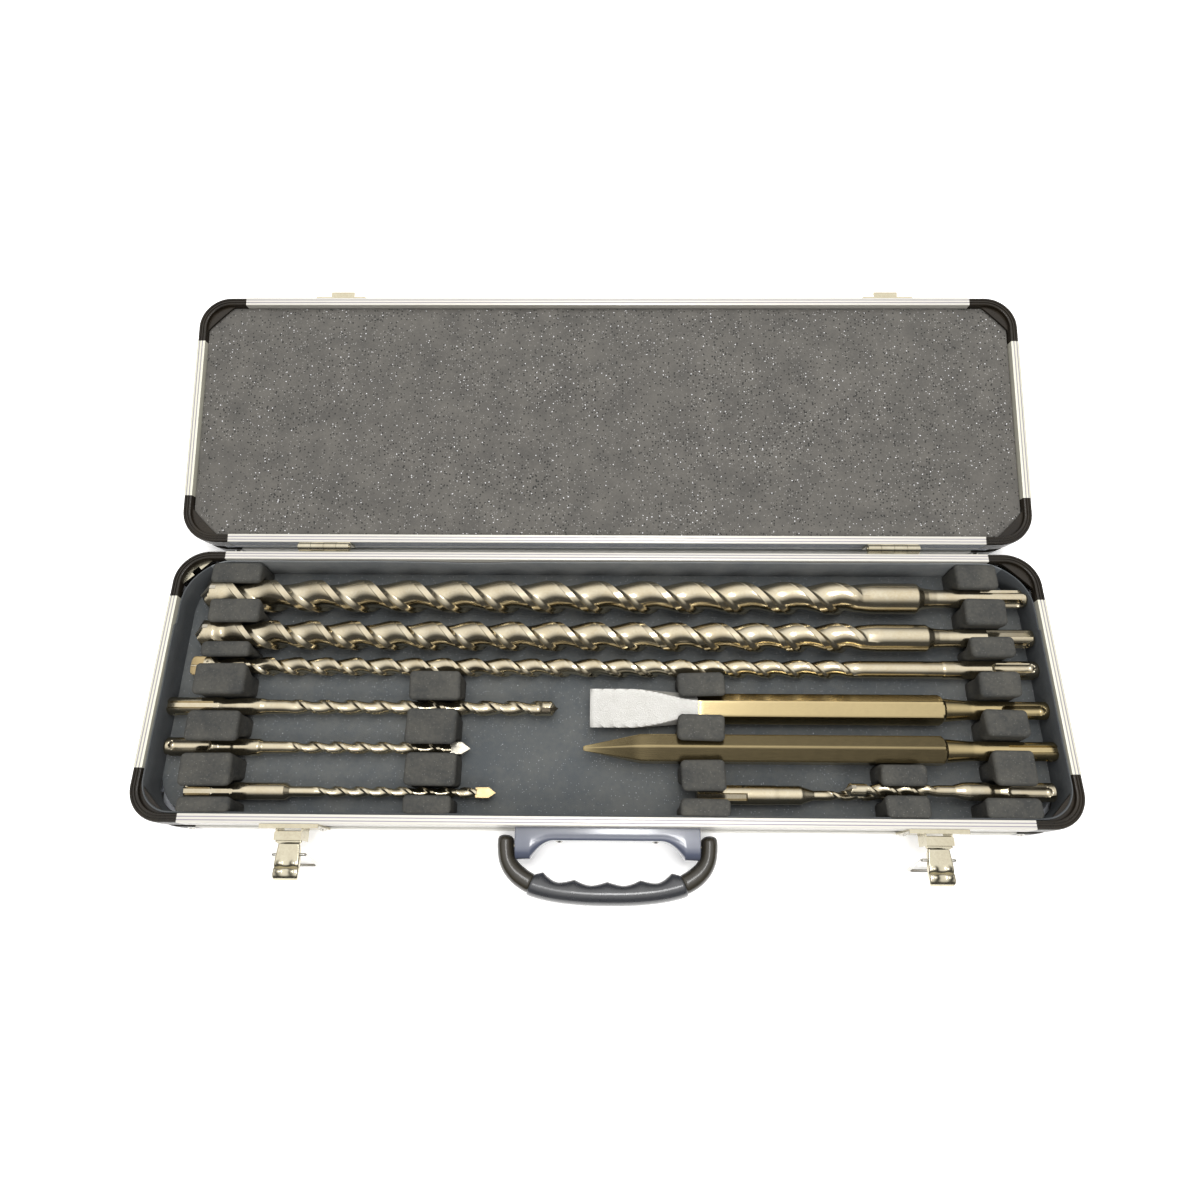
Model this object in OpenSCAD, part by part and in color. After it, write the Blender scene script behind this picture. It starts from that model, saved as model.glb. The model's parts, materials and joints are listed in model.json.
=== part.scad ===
// Slim aluminium-framed case for hammer drill bits and chisels, shown open with its lid lying back.
// Origin: the middle of the base's underside. X runs along the case, Y to its back, Z up. Millimetres.

/* [Case] */
// Outside length of the case
case_l = 470; // [466:1:580]
// Outside depth of the case, front to back
case_d = 145; // [143:1:180]
// Height of the base up to its rim
base_h = 30; // [29:0.5:40]
// Height of the lid from its rim to its top
lid_h = 28; // [25:0.5:30]
// Outside radius of the corners, seen from above
corner_r = 18; // [16:0.5:22]
// How far the lid lies back from closed, in degrees
lid_open = 168; // [90:1:168]
// Gap between the two rims when the case is closed
closed_gap = 0.4; // [0.3:0.1:0.8]

/* [Frame profiles] */
// Width of the rim profile's face
rim_w = 4.5; // [4.2:0.1:5.5]
// Height of the rim profile's outer flange
rim_flange = 11; // [9:0.5:13]
// Wall of the rim and edge profiles
profile_t = 1; // [0.8:0.1:1.2]
// Thickness of the rim profile's top web
rim_web = 1.6; // [1.2:0.1:2]
// Height and width of the edge profile's legs
edge_leg = 9; // [7:0.5:9]
// Length of a corner piece along the rim
corner_leg = 26.5; // [24:0.5:34]
// Thickness of the wall boards
board_t = 2.6; // [2:0.1:2.6]
// Thickness of the bottom and top boards
panel_t = 3; // [2.5:0.1:4]

/* [Foam] */
// Thickness of the floor foam
floor_foam = 8; // [7:0.5:9]
// Thickness of the wall liner
liner_t = 1; // [0.8:0.1:1.2]
// Inside radius of the wall liner's back corners
liner_r = 28; // [26:0.5:29]
// Height of the foam blocks above the floor foam
block_h = 18.4; // [15:0.2:18.6]
// Length of a foam block along the case
block_l = 26; // [20:1:28]
// Depth of the lid foam's face below the lid's rim
lid_recess = 3.6; // [3:0.1:6]

/* [Bits and chisels] */
// Diameter of the largest bit
bit1_d = 18; // [12:0.5:21.6]
// Diameter of the second bit
bit2_d = 16; // [12:0.5:19]
// Diameter of the third bit
bit3_d = 10; // [8:0.5:12]
// Width across flats of the chisels' hexagon
hex_af = 14; // [12:0.5:16.8]
// Diameter of the shanks
shank_d = 10; // [8:0.1:10.4]

/* [Hinges, latches and handle] */
// Distance from the back of the case to the hinge pins
hinge_out = 2.7; // [2.5:0.1:3.5]
// Length of a hinge
hinge_l = 28; // [22:1:40]
// Radius of a hinge pin
pin_r = 1; // [0.8:0.1:1.2]
// Width of a latch lever
lever_w = 12.4; // [12.4:0.2:13.2]
// Length of a latch lever from its pivot
lever_l = 20.2; // [16:0.2:21]
// Width of the handle's bracket
bracket_w = 92; // [80:1:120]
// How far the handle reaches out from the case
handle_reach = 36; // [32:1:50]

/* [Hidden] */
$fn = 48;

// Clearances
fit = 0.05;          // between pieces that sit in one another
soft_gap = 0.6;      // between a tool and the foam round it, so that a 0.5 mm sleeve passes over its shank
slack = 0.6;         // around the latch loops and the handle's arms

// Colours
silver = [0.80, 0.79, 0.74];
black_plastic = [0.06, 0.06, 0.06];
eva = [0.16, 0.18, 0.20];
speckled = [0.22, 0.22, 0.23];
zinc = [0.80, 0.74, 0.55];
bronze = [0.52, 0.43, 0.30];
board = [0.74, 0.75, 0.77];

// Levels and half sizes
half_l = case_l / 2;
half_d = case_d / 2;
inner = profile_t + fit + board_t;                 // from the outside to the boards' inner face
liner_in = inner + liner_t;                        // from the outside to the liner's inner face
floor_z = panel_t + floor_foam;
hinge_y = half_d + hinge_out;
hinge_z = base_h + closed_gap / 2;

// Places the children, drawn with the lid closed, where the open lid is.
module with_lid_open() {
  translate([0, hinge_y, hinge_z]) rotate([-lid_open, 0, 0]) translate([0, -hinge_y, -hinge_z]) children();
}
// The two half shells are drawn with their rim at z = 0 and their board down.
module in_base() { translate([0, 0, base_h]) children(); }
module in_lid() {
  with_lid_open() translate([0, 0, base_h + closed_gap]) mirror([0, 0, 1]) children();
}

// Sides run 0 front, 1 right, 2 back, 3 left. A profile's x is the depth in from the outer face.
function half_width(side) = side % 2 == 0 ? half_d : half_l;
function half_run(side) = side % 2 == 0 ? half_l : half_d;
module side_run(side, from, to) {
  rotate(90 * side) translate([from, -half_width(side), 0]) rotate([90, 0, 90])
    linear_extrude(to - from) children();
}
// Corner k lies between side k and the next one, going round.
module corner_run(k) {
  sx = (k == 0 || k == 1) ? 1 : -1;
  sy = (k == 1 || k == 2) ? 1 : -1;
  translate([sx * (half_l - corner_r), sy * (half_d - corner_r), 0]) rotate(90 * k - 90)
    rotate_extrude(angle = 90, $fn = 64) translate([corner_r, 0]) mirror([1, 0]) children();
}
// A profile carried round a corner, with a straight leg at each end.
module corner_with_legs(k) {
  leg = corner_leg - corner_r;
  corner_run(k) children();
  side_run(k, half_run(k) - corner_r - leg, half_run(k) - corner_r) children();
  side_run((k + 1) % 4, corner_r - half_run(k + 1), corner_r - half_run(k + 1) + leg) children();
}
module rounded_outline(l, d, r) {
  square([l - 2 * r, d], center = true);
  square([l, d - 2 * r], center = true);
  for (sx = [-1, 1], sy = [-1, 1]) translate([sx * (l / 2 - r), sy * (d / 2 - r)]) circle(r, $fn = 64);
}

// Cross-sections, with the rim at y = 0
groove_w = 0.5;
groove_deep = 0.5;
rim_inner_flange = 5;
module rim_section() {
  difference() {
    union() {
      translate([0, -rim_flange]) square([profile_t, rim_flange]);
      translate([0, -rim_web]) square([rim_w, rim_web]);
      translate([inner + fit, -rim_inner_flange]) square([rim_w - inner - fit, rim_inner_flange]);
    }
    for (x = [1.4, 2.8]) translate([x, -groove_deep]) square([groove_w, 1]);
    for (y = [-3, -8]) translate([-1, y - groove_w]) square([1.3, groove_w]);
  }
}
module corner_section() {
  translate([0, -rim_flange]) square([profile_t, rim_flange]);
  translate([0, -rim_web]) square([rim_w, rim_web]);
  translate([inner + fit, -rim_inner_flange]) square([rim_w - inner - fit, rim_inner_flange]);
}
module edge_section(h) {
  translate([0, -h]) square([profile_t, edge_leg]);
  translate([0, -h]) square([edge_leg, profile_t]);
}
module board_section(h) {
  translate([profile_t + fit, panel_t - h]) square([board_t, h - panel_t - rim_web - fit]);
}

// Rivets: [side, place along the side, height below the rim, thickness of the plate under the head]
rivet_r = 1.2;
rivet_head_r = 2.1;
rivet_head = 0.8;
rivet_l = 3;
module rivet_axis(side, along, drop) {
  rotate(90 * side) translate([along, -half_width(side), -drop]) rotate([90, 0, 0]) children();
}
module rivet_hole(place) {
  rivet_axis(place[0], place[1], place[2]) cylinder(r = rivet_r + fit, h = 20, center = true, $fn = 24);
}
module rivet(place) {
  plate = place[3];
  rivet_axis(place[0], place[1], place[2]) {
    translate([0, 0, -rivet_l]) cylinder(r = rivet_r, h = rivet_l + plate, $fn = 24);
    translate([0, 0, plate]) cylinder(r1 = rivet_head_r, r2 = rivet_r, h = rivet_head, $fn = 24);
  }
}

leaf_t = 1;
leaf_drop = 5.5;
latch_plate_t = 1;
latch_plate_w = 29;
catch_w = 28.5;
catch_t = 0.8;
hinge_x = [-154.4, 157.6];
latch_x = [-153.5, 162];
handle_x = 2;
hinge_rivets = [for (x = hinge_x, dx = [-9.5, 0, 9.5]) [2, -x + dx, leaf_drop, leaf_t]];
corner_rivets = [for (side = [0, 1, 2, 3], e = [-1, 1]) [side, e * (half_run(side) - corner_leg + 4), 0, profile_t]];
function at_drop(places, drop) = [for (p = places) [p[0], p[1], drop, 0]];
latch_rivets = [for (x = latch_x, dx = [-11, 11], drop = [6.5, 20.5]) [0, x + dx, drop, latch_plate_t]];
catch_rivets = [for (x = latch_x, dx = [-10, 10]) [0, x + dx, 5, catch_t]];
bracket_rivets = [for (dx = [-24, 24]) [0, handle_x + dx, base_h / 2, 6]];
base_places = concat(hinge_rivets, at_drop(corner_rivets, base_h - 4.5), latch_rivets, bracket_rivets);
lid_places = concat(hinge_rivets, at_drop(corner_rivets, lid_h - 4.5), catch_rivets);

// Half shell pieces
module with_holes(places) {
  difference() {
    children();
    for (p = places) rivet_hole(p);
  }
}
module on(places, side) { with_holes([for (p = places) if (p[0] == side) p]) children(); }
module rim_side(side, places) {
  run = half_run(side) - corner_leg;
  on(places, side) side_run(side, -run, run) rim_section();
}
module wall_board(side, h, places) {
  run = half_run(side) - corner_r;
  on(places, side) side_run(side, -run, run) board_section(h);
}
module edge_profile(side, h, places) {
  run = half_run(side) - corner_leg;
  on(places, side) side_run(side, -run, run) edge_section(h);
}
web_reach = 16;      // from the case's corner to the inner edge of the corner web, along the diagonal
web_t = 1.2;
module corner_web(k) {
  sx = (k == 0 || k == 1) ? 1 : -1;
  sy = (k == 1 || k == 2) ? 1 : -1;
  translate([sx * (half_l - corner_r), sy * (half_d - corner_r), -rim_web - web_t])
    rotate(90 * k - 45) intersection() {
      cylinder(r = corner_r - rim_w + 0.2, h = web_t);
      translate([corner_r * sqrt(2) - web_reach, -corner_r, 0]) cube([corner_r, 2 * corner_r, web_t]);
    }
}
module rim_corner(k, web) {
  corner_with_legs(k) corner_section();
  if (web) translate([0, 0, rim_web]) corner_web(k);
}
module board_panel(h) {
  lower = profile_t + fit;
  translate([0, 0, -h]) linear_extrude(lower)
    rounded_outline(case_l - 2 * (edge_leg + fit), case_d - 2 * (edge_leg + fit), corner_r - edge_leg - fit);
  translate([0, 0, lower - h]) linear_extrude(panel_t - lower)
    rounded_outline(case_l - 2 * lower, case_d - 2 * lower, corner_r - lower);
}

// Base shell
module base_bottom_panel() { color(board) in_base() board_panel(base_h); }
module base_front_panel() { color(board) in_base() wall_board(0, base_h, base_places); }
module base_back_panel() { color(board) in_base() wall_board(2, base_h, base_places); }
module base_side_panels() { color(board) in_base() for (s = [1, 3]) wall_board(s, base_h, base_places); }
module base_corner_posts() { color(black_plastic) in_base() for (k = [0:3]) corner_run(k) board_section(base_h); }
module base_rim_front() { color(silver) in_base() rim_side(0, base_places); }
module base_rim_back() { color(silver) in_base() rim_side(2, base_places); }
module base_rim_sides() { color(silver) in_base() for (s = [1, 3]) rim_side(s, base_places); }
// The back left corner, number 2, has lost its web.
module base_rim_corners() { color(black_plastic) in_base() for (k = [0:3]) rim_corner(k, k != 2); }
module base_edge_profiles() { color(silver) in_base() for (s = [0:3]) edge_profile(s, base_h, base_places); }
module base_bottom_corners() {
  color(black_plastic) in_base() with_holes(base_places) for (k = [0:3]) corner_with_legs(k) edge_section(base_h);
}
bracket_t = 1;
bracket_hole = 4.5;
bracket_drop = 3.4;
module base_corner_brackets() {
  color(zinc) in_base() for (k = [1, 2]) {
    sx = k == 1 ? 1 : -1;
    sy = 1;
    round_r = corner_r - rim_w;
    translate([sx * (half_l - corner_r), sy * (half_d - corner_r), -bracket_drop - bracket_t])
      rotate(90 * k - 45) difference() {
        intersection() {
          cylinder(r = round_r, h = bracket_t);
          translate([corner_r * sqrt(2) - web_reach, -corner_r, 0]) cube([corner_r, 2 * corner_r, bracket_t]);
        }
        translate([round_r - 4.6, -bracket_hole / 2, -1]) cube([3, bracket_hole, bracket_t + 2]);
      }
  }
}

// Foam
tray_l = case_l - 2 * (liner_in + 2 * fit);
tray_d = case_d - 2 * (liner_in + 2 * fit);
tight_r = 20;        // the liner's corners are tighter beside the shanks
liner_drop = rim_inner_flange + fit;
module tray_outline(grow) {
  hw = tray_l / 2 + grow;
  hd = tray_d / 2 + grow;
  rf = tight_r + grow;
  rb = liner_r + grow;
  polygon(concat(
    [for (a = [180:6:270]) [-hw + rf, -hd + rf] + rf * [cos(a), sin(a)]],
    [for (a = [270:6:360]) [hw - rf, -hd + rf] + rf * [cos(a), sin(a)]],
    [for (a = [0:6:90]) [hw - rf, hd - rf] + rf * [cos(a), sin(a)]],
    [for (a = [90:6:180]) [-hw + rb, hd - rb] + rb * [cos(a), sin(a)]]));
}
module floor_foam_pad() {
  color(eva) translate([0, 0, panel_t]) linear_extrude(floor_foam) tray_outline(0);
}
module wall_liner() {
  color(eva) translate([0, 0, panel_t]) linear_extrude(base_h - panel_t - liner_drop) difference() {
    tray_outline(liner_t);
    tray_outline(fit);
  }
}

// Rows of tools, [distance from the middle, half width there]
small_r = shank_d / 2;
hex_corner = hex_af / sqrt(3);
row1 = 49.7;
row2 = 27.4;
row3 = 10.7;
row4 = -11.6;
row5 = -33;
row6 = -55.4;
row6_right = -53.4;
drill8_r = 4;
drill65_r = 3.25;
drill55_r = 2.75;
short5_r = 2.5;
short6_r = 3.25;
blade_w = 20;
block_in = max(liner_in, rim_w);                   // the blocks stay inside the liner and the rim
wall_y = half_d - block_in - 2 * fit;
long1 = [-221.5, 228.5];            // the largest bit's two ends
left_rows = [[row1, bit1_d / 2], [row2, bit2_d / 2], [row3, max(bit3_d / 2, small_r)], [row4, small_r],
             [row5, small_r], [row6, small_r]];
right_rows = [[row1, small_r], [row2, small_r], [row3, small_r], [row4, small_r], [row5, small_r],
              [row6_right, small_r]];
mid_left_rows = [[row3, bit3_d / 2], [row4, drill8_r], [row5, drill65_r], [row6, drill55_r]];
mid_right_rows = [[row3, bit3_d / 2], [row4, blade_w / 2], [row5, hex_af / 2], [row6, small_r]];
left_x = long1[0] + 8;
mid_left_x = left_x + 112.7;
right_x = long1[1] - 13 - block_l;
mid_right_x = 37.2;
front_x = 137.4;
front_block_l = 22.5;

module foam_block(x, l, y0, y1) { translate([x, y0, floor_z]) cube([l, y1 - y0, block_h]); }
module in_tray() {
  intersection() {
    children();
    translate([0, 0, floor_z]) linear_extrude(block_h) tray_outline(liner_in - block_in);
  }
}
// Blocks stand between neighbouring rows, and between the last row and the front wall.
module block_column(x, rows) {
  n = len(rows);
  for (i = [0:n - 1]) {
    low = i == n - 1 ? -wall_y : rows[i + 1][0] + rows[i + 1][1] + soft_gap;
    foam_block(x, block_l, low, rows[i][0] - rows[i][1] - soft_gap);
  }
}
module foam_blocks_left() {
  color(eva) in_tray() {
    block_column(left_x, left_rows);
    foam_block(left_x, block_l, row1 + bit1_d / 2 + soft_gap, wall_y);
  }
}
module foam_blocks_right() {
  color(eva) in_tray() {
    block_column(right_x, right_rows);
    foam_block(right_x, block_l, row1 + small_r + soft_gap, wall_y);
  }
}
module foam_blocks_mid_left() { color(eva) block_column(mid_left_x, mid_left_rows); }
module foam_blocks_mid_right() { color(eva) block_column(mid_right_x, mid_right_rows); }
module foam_blocks_front() {
  color(eva) foam_block(front_x, front_block_l, row6_right + short6_r + soft_gap, row5 - hex_af / 2 - soft_gap);
  color(eva) foam_block(front_x, front_block_l, -wall_y, row6 - short5_r - soft_gap);
}

// Lid shell
module lid_top_panel() { color(board) in_lid() board_panel(lid_h); }
module lid_front_panel() { color(board) in_lid() wall_board(0, lid_h, lid_places); }
module lid_back_panel() { color(board) in_lid() wall_board(2, lid_h, lid_places); }
module lid_side_panels() { color(board) in_lid() for (s = [1, 3]) wall_board(s, lid_h, lid_places); }
module lid_corner_posts() { color(black_plastic) in_lid() for (k = [0:3]) corner_run(k) board_section(lid_h); }
module lid_rim_front() { color(silver) in_lid() rim_side(0, lid_places); }
module lid_rim_back() { color(silver) in_lid() rim_side(2, lid_places); }
module lid_rim_sides() { color(silver) in_lid() for (s = [1, 3]) rim_side(s, lid_places); }
module lid_rim_corners() { color(black_plastic) in_lid() for (k = [0:3]) rim_corner(k, true); }
module lid_edge_profiles() { color(silver) in_lid() for (s = [0:3]) edge_profile(s, lid_h, lid_places); }
module lid_top_corners() {
  color(black_plastic) in_lid() with_holes(lid_places) for (k = [0:3]) corner_with_legs(k) edge_section(lid_h);
}
module lid_foam_pad() {
  color(speckled) in_lid() translate([0, 0, panel_t - lid_h]) linear_extrude(lid_h - panel_t - lid_recess)
    rounded_outline(case_l - 2 * (inner + 2 * fit + rim_w - inner), case_d - 2 * (inner + 2 * fit + rim_w - inner),
      corner_r - rim_w);
}

// Hinges: four knuckles each, the base's and the lid's in turn
knuckle_r = 2.3;
knuckle_gap = 0.2;
leaf_h = 9.5;
knuckle_l = hinge_l / 4;
module hinge_leaf(x, height, first) {
  difference() {
    union() {
      translate([x - hinge_l / 2, half_d, height]) cube([hinge_l, leaf_t, leaf_h]);
      for (i = [first, first + 2]) translate([x - hinge_l / 2 + i * knuckle_l + knuckle_gap / 2, hinge_y, hinge_z]) {
        rotate([0, 90, 0]) cylinder(r = knuckle_r, h = knuckle_l - knuckle_gap);
        reach = height < hinge_z ? -knuckle_r : 0;
        translate([0, -hinge_out, reach]) cube([knuckle_l - knuckle_gap, leaf_t, knuckle_r]);
      }
    }
    // Room for the other leaf's knuckles
    for (i = [1 - first, 3 - first]) translate([x - hinge_l / 2 + i * knuckle_l - knuckle_gap / 2, hinge_y, hinge_z])
      rotate([0, 90, 0]) cylinder(r = knuckle_r + knuckle_gap, h = knuckle_l + knuckle_gap);
    translate([x - hinge_l, hinge_y, hinge_z]) rotate([0, 90, 0]) cylinder(r = pin_r + fit, h = 2 * hinge_l);
  }
}
module hinge_base_leaves() {
  color(zinc) for (x = hinge_x) difference() {
    hinge_leaf(x, base_h - leaf_h, 0);
    in_base() for (p = hinge_rivets) rivet_hole(p);
  }
}
module hinge_lid_leaves() {
  color(zinc) with_lid_open() for (x = hinge_x) difference() {
    hinge_leaf(x, base_h + closed_gap, 1);
    translate([0, 0, base_h + closed_gap]) mirror([0, 0, 1]) for (p = hinge_rivets) rivet_hole(p);
  }
}
module hinge_pins() {
  color(zinc) for (x = hinge_x) translate([x - hinge_l / 2 - 0.6, hinge_y, hinge_z])
    rotate([0, 90, 0]) cylinder(r = pin_r, h = hinge_l + 1.2);
}

// Toggle latches. Distances out from the case's front face are called "out".
pivot_out = 5;
pivot_z = base_h - 7;
cheek_in = lever_w / 2 - 0.3;
cheek_t = 0.8;
cheek_out = 7.6;
cheek_low = 5.5;
cheek_high = 4;
latch_pin_r = 1;
loop_arm = 9;                                      // from the lever's pivot to the loop's pivot
wire_r = 0.8;
loop_half = lever_w / 2 + 2 * wire_r + slack - 0.3; // middle of the loop's side wires
hook_floor = 4.6;                                  // height of the hook's floor above the base's rim
hook_t = 0.8;
bar_out = 3;                                       // where the loop's bar lies when the latch is shut
bar_z = base_h + hook_floor + wire_r + 0.3;
loop_l = sqrt(pow(bar_z - pivot_z + loop_arm, 2) + pow(pivot_out - bar_out, 2));
loop_rest = 80;                                    // below the horizontal, as it hangs with the lever open
function front_y(out) = -half_d - out;
plate_low = 6;
plate_r = 4;
flange_out = 2.1;
module latch_plate(x) {
  difference() {
    union() {
      translate([x - latch_plate_w / 2, front_y(latch_plate_t), plate_low + plate_r])
        cube([latch_plate_w, latch_plate_t, base_h - 1 - plate_low - plate_r]);
      translate([x - latch_plate_w / 2 + plate_r, front_y(latch_plate_t), plate_low])
        cube([latch_plate_w - 2 * plate_r, latch_plate_t, base_h - 1 - plate_low]);
      for (e = [-1, 1]) translate([x + e * (latch_plate_w / 2 - plate_r), front_y(0), plate_low + plate_r])
        rotate([90, 0, 0]) cylinder(r = plate_r, h = latch_plate_t);
      translate([x - latch_plate_w / 2, front_y(flange_out), base_h - 2])
        cube([latch_plate_w, flange_out, 1]);
      for (e = [0, 1]) translate([x + (e == 0 ? -cheek_in - cheek_t : cheek_in),
        front_y(cheek_out), pivot_z - cheek_low]) cube([cheek_t, cheek_out, cheek_low + cheek_high]);
      translate([x - cheek_in - cheek_t, front_y(cheek_out), pivot_z + cheek_high])
        cube([2 * (cheek_in + cheek_t), cheek_out - pivot_out + 1.4, 1]);
    }
    translate([x, front_y(pivot_out), pivot_z]) rotate([0, 90, 0])
      cylinder(r = latch_pin_r + fit, h = 40, center = true);
    in_base() for (p = latch_rivets) rivet_hole(p);
  }
}
module latch_plate_left() { color(zinc) latch_plate(latch_x[0]); }
module latch_plate_right() { color(zinc) latch_plate(latch_x[1]); }
module latch_pivot_pins() {
  color(zinc) for (x = latch_x) translate([x, front_y(pivot_out), pivot_z]) rotate([0, 90, 0])
    cylinder(r = latch_pin_r, h = 2 * (cheek_in + cheek_t), center = true);
}
lever_t = 1;
lever_eye = 2.2;
narrow_l = 6.6;
lever_lip = 3;
lever_flange = 3;
module latch_lever(x) {
  narrow = 2 * (cheek_in - 0.3);
  color(zinc) translate([x, front_y(pivot_out), pivot_z]) difference() {
    union() {
      rotate([0, 90, 0]) cylinder(r = lever_eye, h = narrow, center = true);
      translate([-narrow / 2, -narrow_l, lever_eye - lever_t]) cube([narrow, narrow_l, lever_t]);
      translate([-lever_w / 2, -lever_l, lever_eye - lever_t]) cube([lever_w, lever_l - narrow_l + 0.5, lever_t]);
      for (e = [-lever_w / 2, lever_w / 2 - lever_t]) translate([e, -loop_arm - 4, lever_eye - lever_flange - lever_t])
        cube([lever_t, 6.4, lever_flange + lever_t]);
      translate([-lever_w / 2, -lever_l - 0.6, lever_eye - lever_lip]) cube([lever_w, lever_t, lever_lip]);
    }
    rotate([0, 90, 0]) cylinder(r = latch_pin_r + fit, h = 40, center = true);
    translate([0, -loop_arm, 0]) rotate([0, 90, 0]) cylinder(r = wire_r + fit, h = 40, center = true);
  }
}
module latch_lever_left() { latch_lever(latch_x[0]); }
module latch_lever_right() { latch_lever(latch_x[1]); }
loop_foot = 2.6;     // how far the loop's ends reach in through the lever
module latch_loop(x) {
  color(zinc) translate([x, front_y(pivot_out + loop_arm), pivot_z]) rotate([loop_rest - 90, 0, 0]) {
    for (e = [-1, 1]) translate([e * loop_half, 0, 0]) {
      translate([0, 0, -loop_l]) cylinder(r = wire_r, h = loop_l, $fn = 24);
      sphere(wire_r, $fn = 24);
      translate([0, 0, -loop_l]) sphere(wire_r, $fn = 24);
      rotate([0, -90 * e, 0]) cylinder(r = wire_r, h = loop_foot, $fn = 24);
    }
    translate([0, 0, -loop_l]) rotate([0, 90, 0]) cylinder(r = wire_r, h = 2 * loop_half, center = true, $fn = 24);
  }
}
module latch_loop_left() { latch_loop(latch_x[0]); }
module latch_loop_right() { latch_loop(latch_x[1]); }
hook_w = 2 * (loop_half - wire_r) - 2 * slack;
hook_out = 5.4;
hook_lip = 1.2;
module catch_plate(x) {
  color(zinc) with_lid_open() difference() {
    union() {
      translate([x - catch_w / 2, front_y(catch_t), base_h + closed_gap + 0.4]) cube([catch_w, catch_t, 8.5]);
      translate([x - hook_w / 2, front_y(hook_out), base_h + hook_floor - hook_t]) cube([hook_w, hook_out, hook_t]);
      translate([x - hook_w / 2, front_y(hook_out), base_h + hook_floor]) cube([hook_w, hook_t, hook_lip]);
    }
    translate([0, 0, base_h + closed_gap]) mirror([0, 0, 1]) for (p = catch_rivets) rivet_hole(p);
  }
}
module catch_left() { catch_plate(latch_x[0]); }
module catch_right() { catch_plate(latch_x[1]); }

// Handle: a bracket with two ends, and a loop with a grip that swings on two pins
handle_z = base_h / 2;
bracket_h = 15;
bracket_mid = 6;
bracket_end = 15;
end_w = 9;
handle_pin_out = 8.5;
handle_pin_r = 1.5;
arm_r = 4;
arm_x = bracket_w / 2 + arm_r + 0.4;
arm_turn = 12;       // radius of the bend between an arm and the grip
grip_out = handle_reach - 5.5;
grip_l = 76;
grip_r = 5.5;
module handle_bracket() {
  color([0.30, 0.32, 0.36]) difference() {
    translate([handle_x, 0, handle_z - bracket_h / 2]) {
      translate([-bracket_w / 2, front_y(bracket_mid), 0]) cube([bracket_w, bracket_mid, bracket_h]);
      for (e = [-1, 1]) translate([e * (bracket_w - end_w) / 2 - end_w / 2, front_y(bracket_end), 0])
        cube([end_w, bracket_end, bracket_h]);
      // Sloped shoulders beside the ends
      for (e = [-1, 1]) linear_extrude(bracket_h) polygon([
        [e * (bracket_w / 2 - end_w), front_y(bracket_end)],
        [e * (bracket_w / 2 - end_w - 9), front_y(bracket_mid)],
        [e * (bracket_w / 2 - end_w), front_y(bracket_mid)]]);
    }
    translate([handle_x, front_y(handle_pin_out), handle_z]) rotate([0, 90, 0])
      cylinder(r = handle_pin_r + fit, h = 200, center = true);
    in_base() for (p = bracket_rivets) rivet_hole(p);
  }
}
module handle_pins() {
  color(zinc) for (e = [-1, 1]) translate([handle_x + e * (arm_x - end_w / 2), front_y(handle_pin_out), handle_z])
    rotate([0, 90, 0]) cylinder(r = handle_pin_r, h = end_w + arm_r, center = true);
}
module handle_loop() {
  core = arm_x - arm_turn;
  color(black_plastic) difference() {
    translate([handle_x, 0, handle_z]) {
      for (e = [-1, 1]) translate([e * arm_x, 0, 0]) {
        translate([0, front_y(handle_pin_out - 1), 0]) sphere(arm_r);
        translate([0, front_y(handle_pin_out - 1), 0]) rotate([90, 0, 0])
          cylinder(r = arm_r, h = grip_out - arm_turn - handle_pin_out + 1);
      }
      for (e = [-1, 1]) translate([e * core, front_y(grip_out - arm_turn), 0]) rotate(e > 0 ? -90 : 180)
        rotate_extrude(angle = 90) translate([arm_turn, 0]) circle(arm_r);
      translate([-core, front_y(grip_out), 0]) rotate([0, 90, 0]) cylinder(r = arm_r, h = 2 * core);
    }
    translate([handle_x, front_y(handle_pin_out), handle_z]) rotate([0, 90, 0])
      cylinder(r = handle_pin_r + fit, h = 2 * (arm_x + arm_r / 2) + 0.2, center = true);
  }
}
// The grip is a sleeve on the loop's front run, with four finger hollows on its inner side.
module handle_grip() {
  color([0.12, 0.12, 0.13]) translate([handle_x, front_y(grip_out), handle_z]) difference() {
    rotate([0, 90, 0]) cylinder(r = grip_r, h = grip_l, center = true);
    rotate([0, 90, 0]) cylinder(r = arm_r + fit, h = grip_l + 2, center = true);
    for (i = [-1.5:1:1.5]) translate([i * grip_l / 4.35, grip_r + 11.1, -10]) cylinder(r = 12, h = 20);
  }
}

// Tools are drawn along +X, with the tip at x = 0 and the shank's end at x = length.
groove_l = 26;
plain_to_end = groove_l + 1.4;     // the plain part of a shank stops this far from its end
slot_d = shank_d - 0.4;            // the grooved part is a little slimmer than the plain one
module shank(from, to) {
  along = plain_to_end;
  translate([from, 0, 0]) rotate([0, 90, 0]) cylinder(d = shank_d, h = to - from - along);
  difference() {
    translate([to - along, 0, 0]) rotate([0, 90, 0]) union() {
      cylinder(d = slot_d, h = along - 1);
      translate([0, 0, along - 1]) cylinder(d1 = slot_d, d2 = slot_d - 2, h = 1);
    }
    // Two open slots at the sides and two closed ball grooves above and below
    for (e = [-1, 1]) {
      translate([to - groove_l, e * (shank_d / 2) - 1.5, -1.3]) cube([groove_l + 1, 3, 2.6]);
      for (x = [to - 8, to - groove_l + 2.5]) translate([x, 0, e * (shank_d / 2 + 2.6)]) sphere(4.6);
      translate([to - groove_l + 2.5, 0, e * (shank_d / 2 + 2.6)]) rotate([0, 90, 0])
        cylinder(r = 4.6, h = groove_l - 10.5);
    }
  }
}
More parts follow.
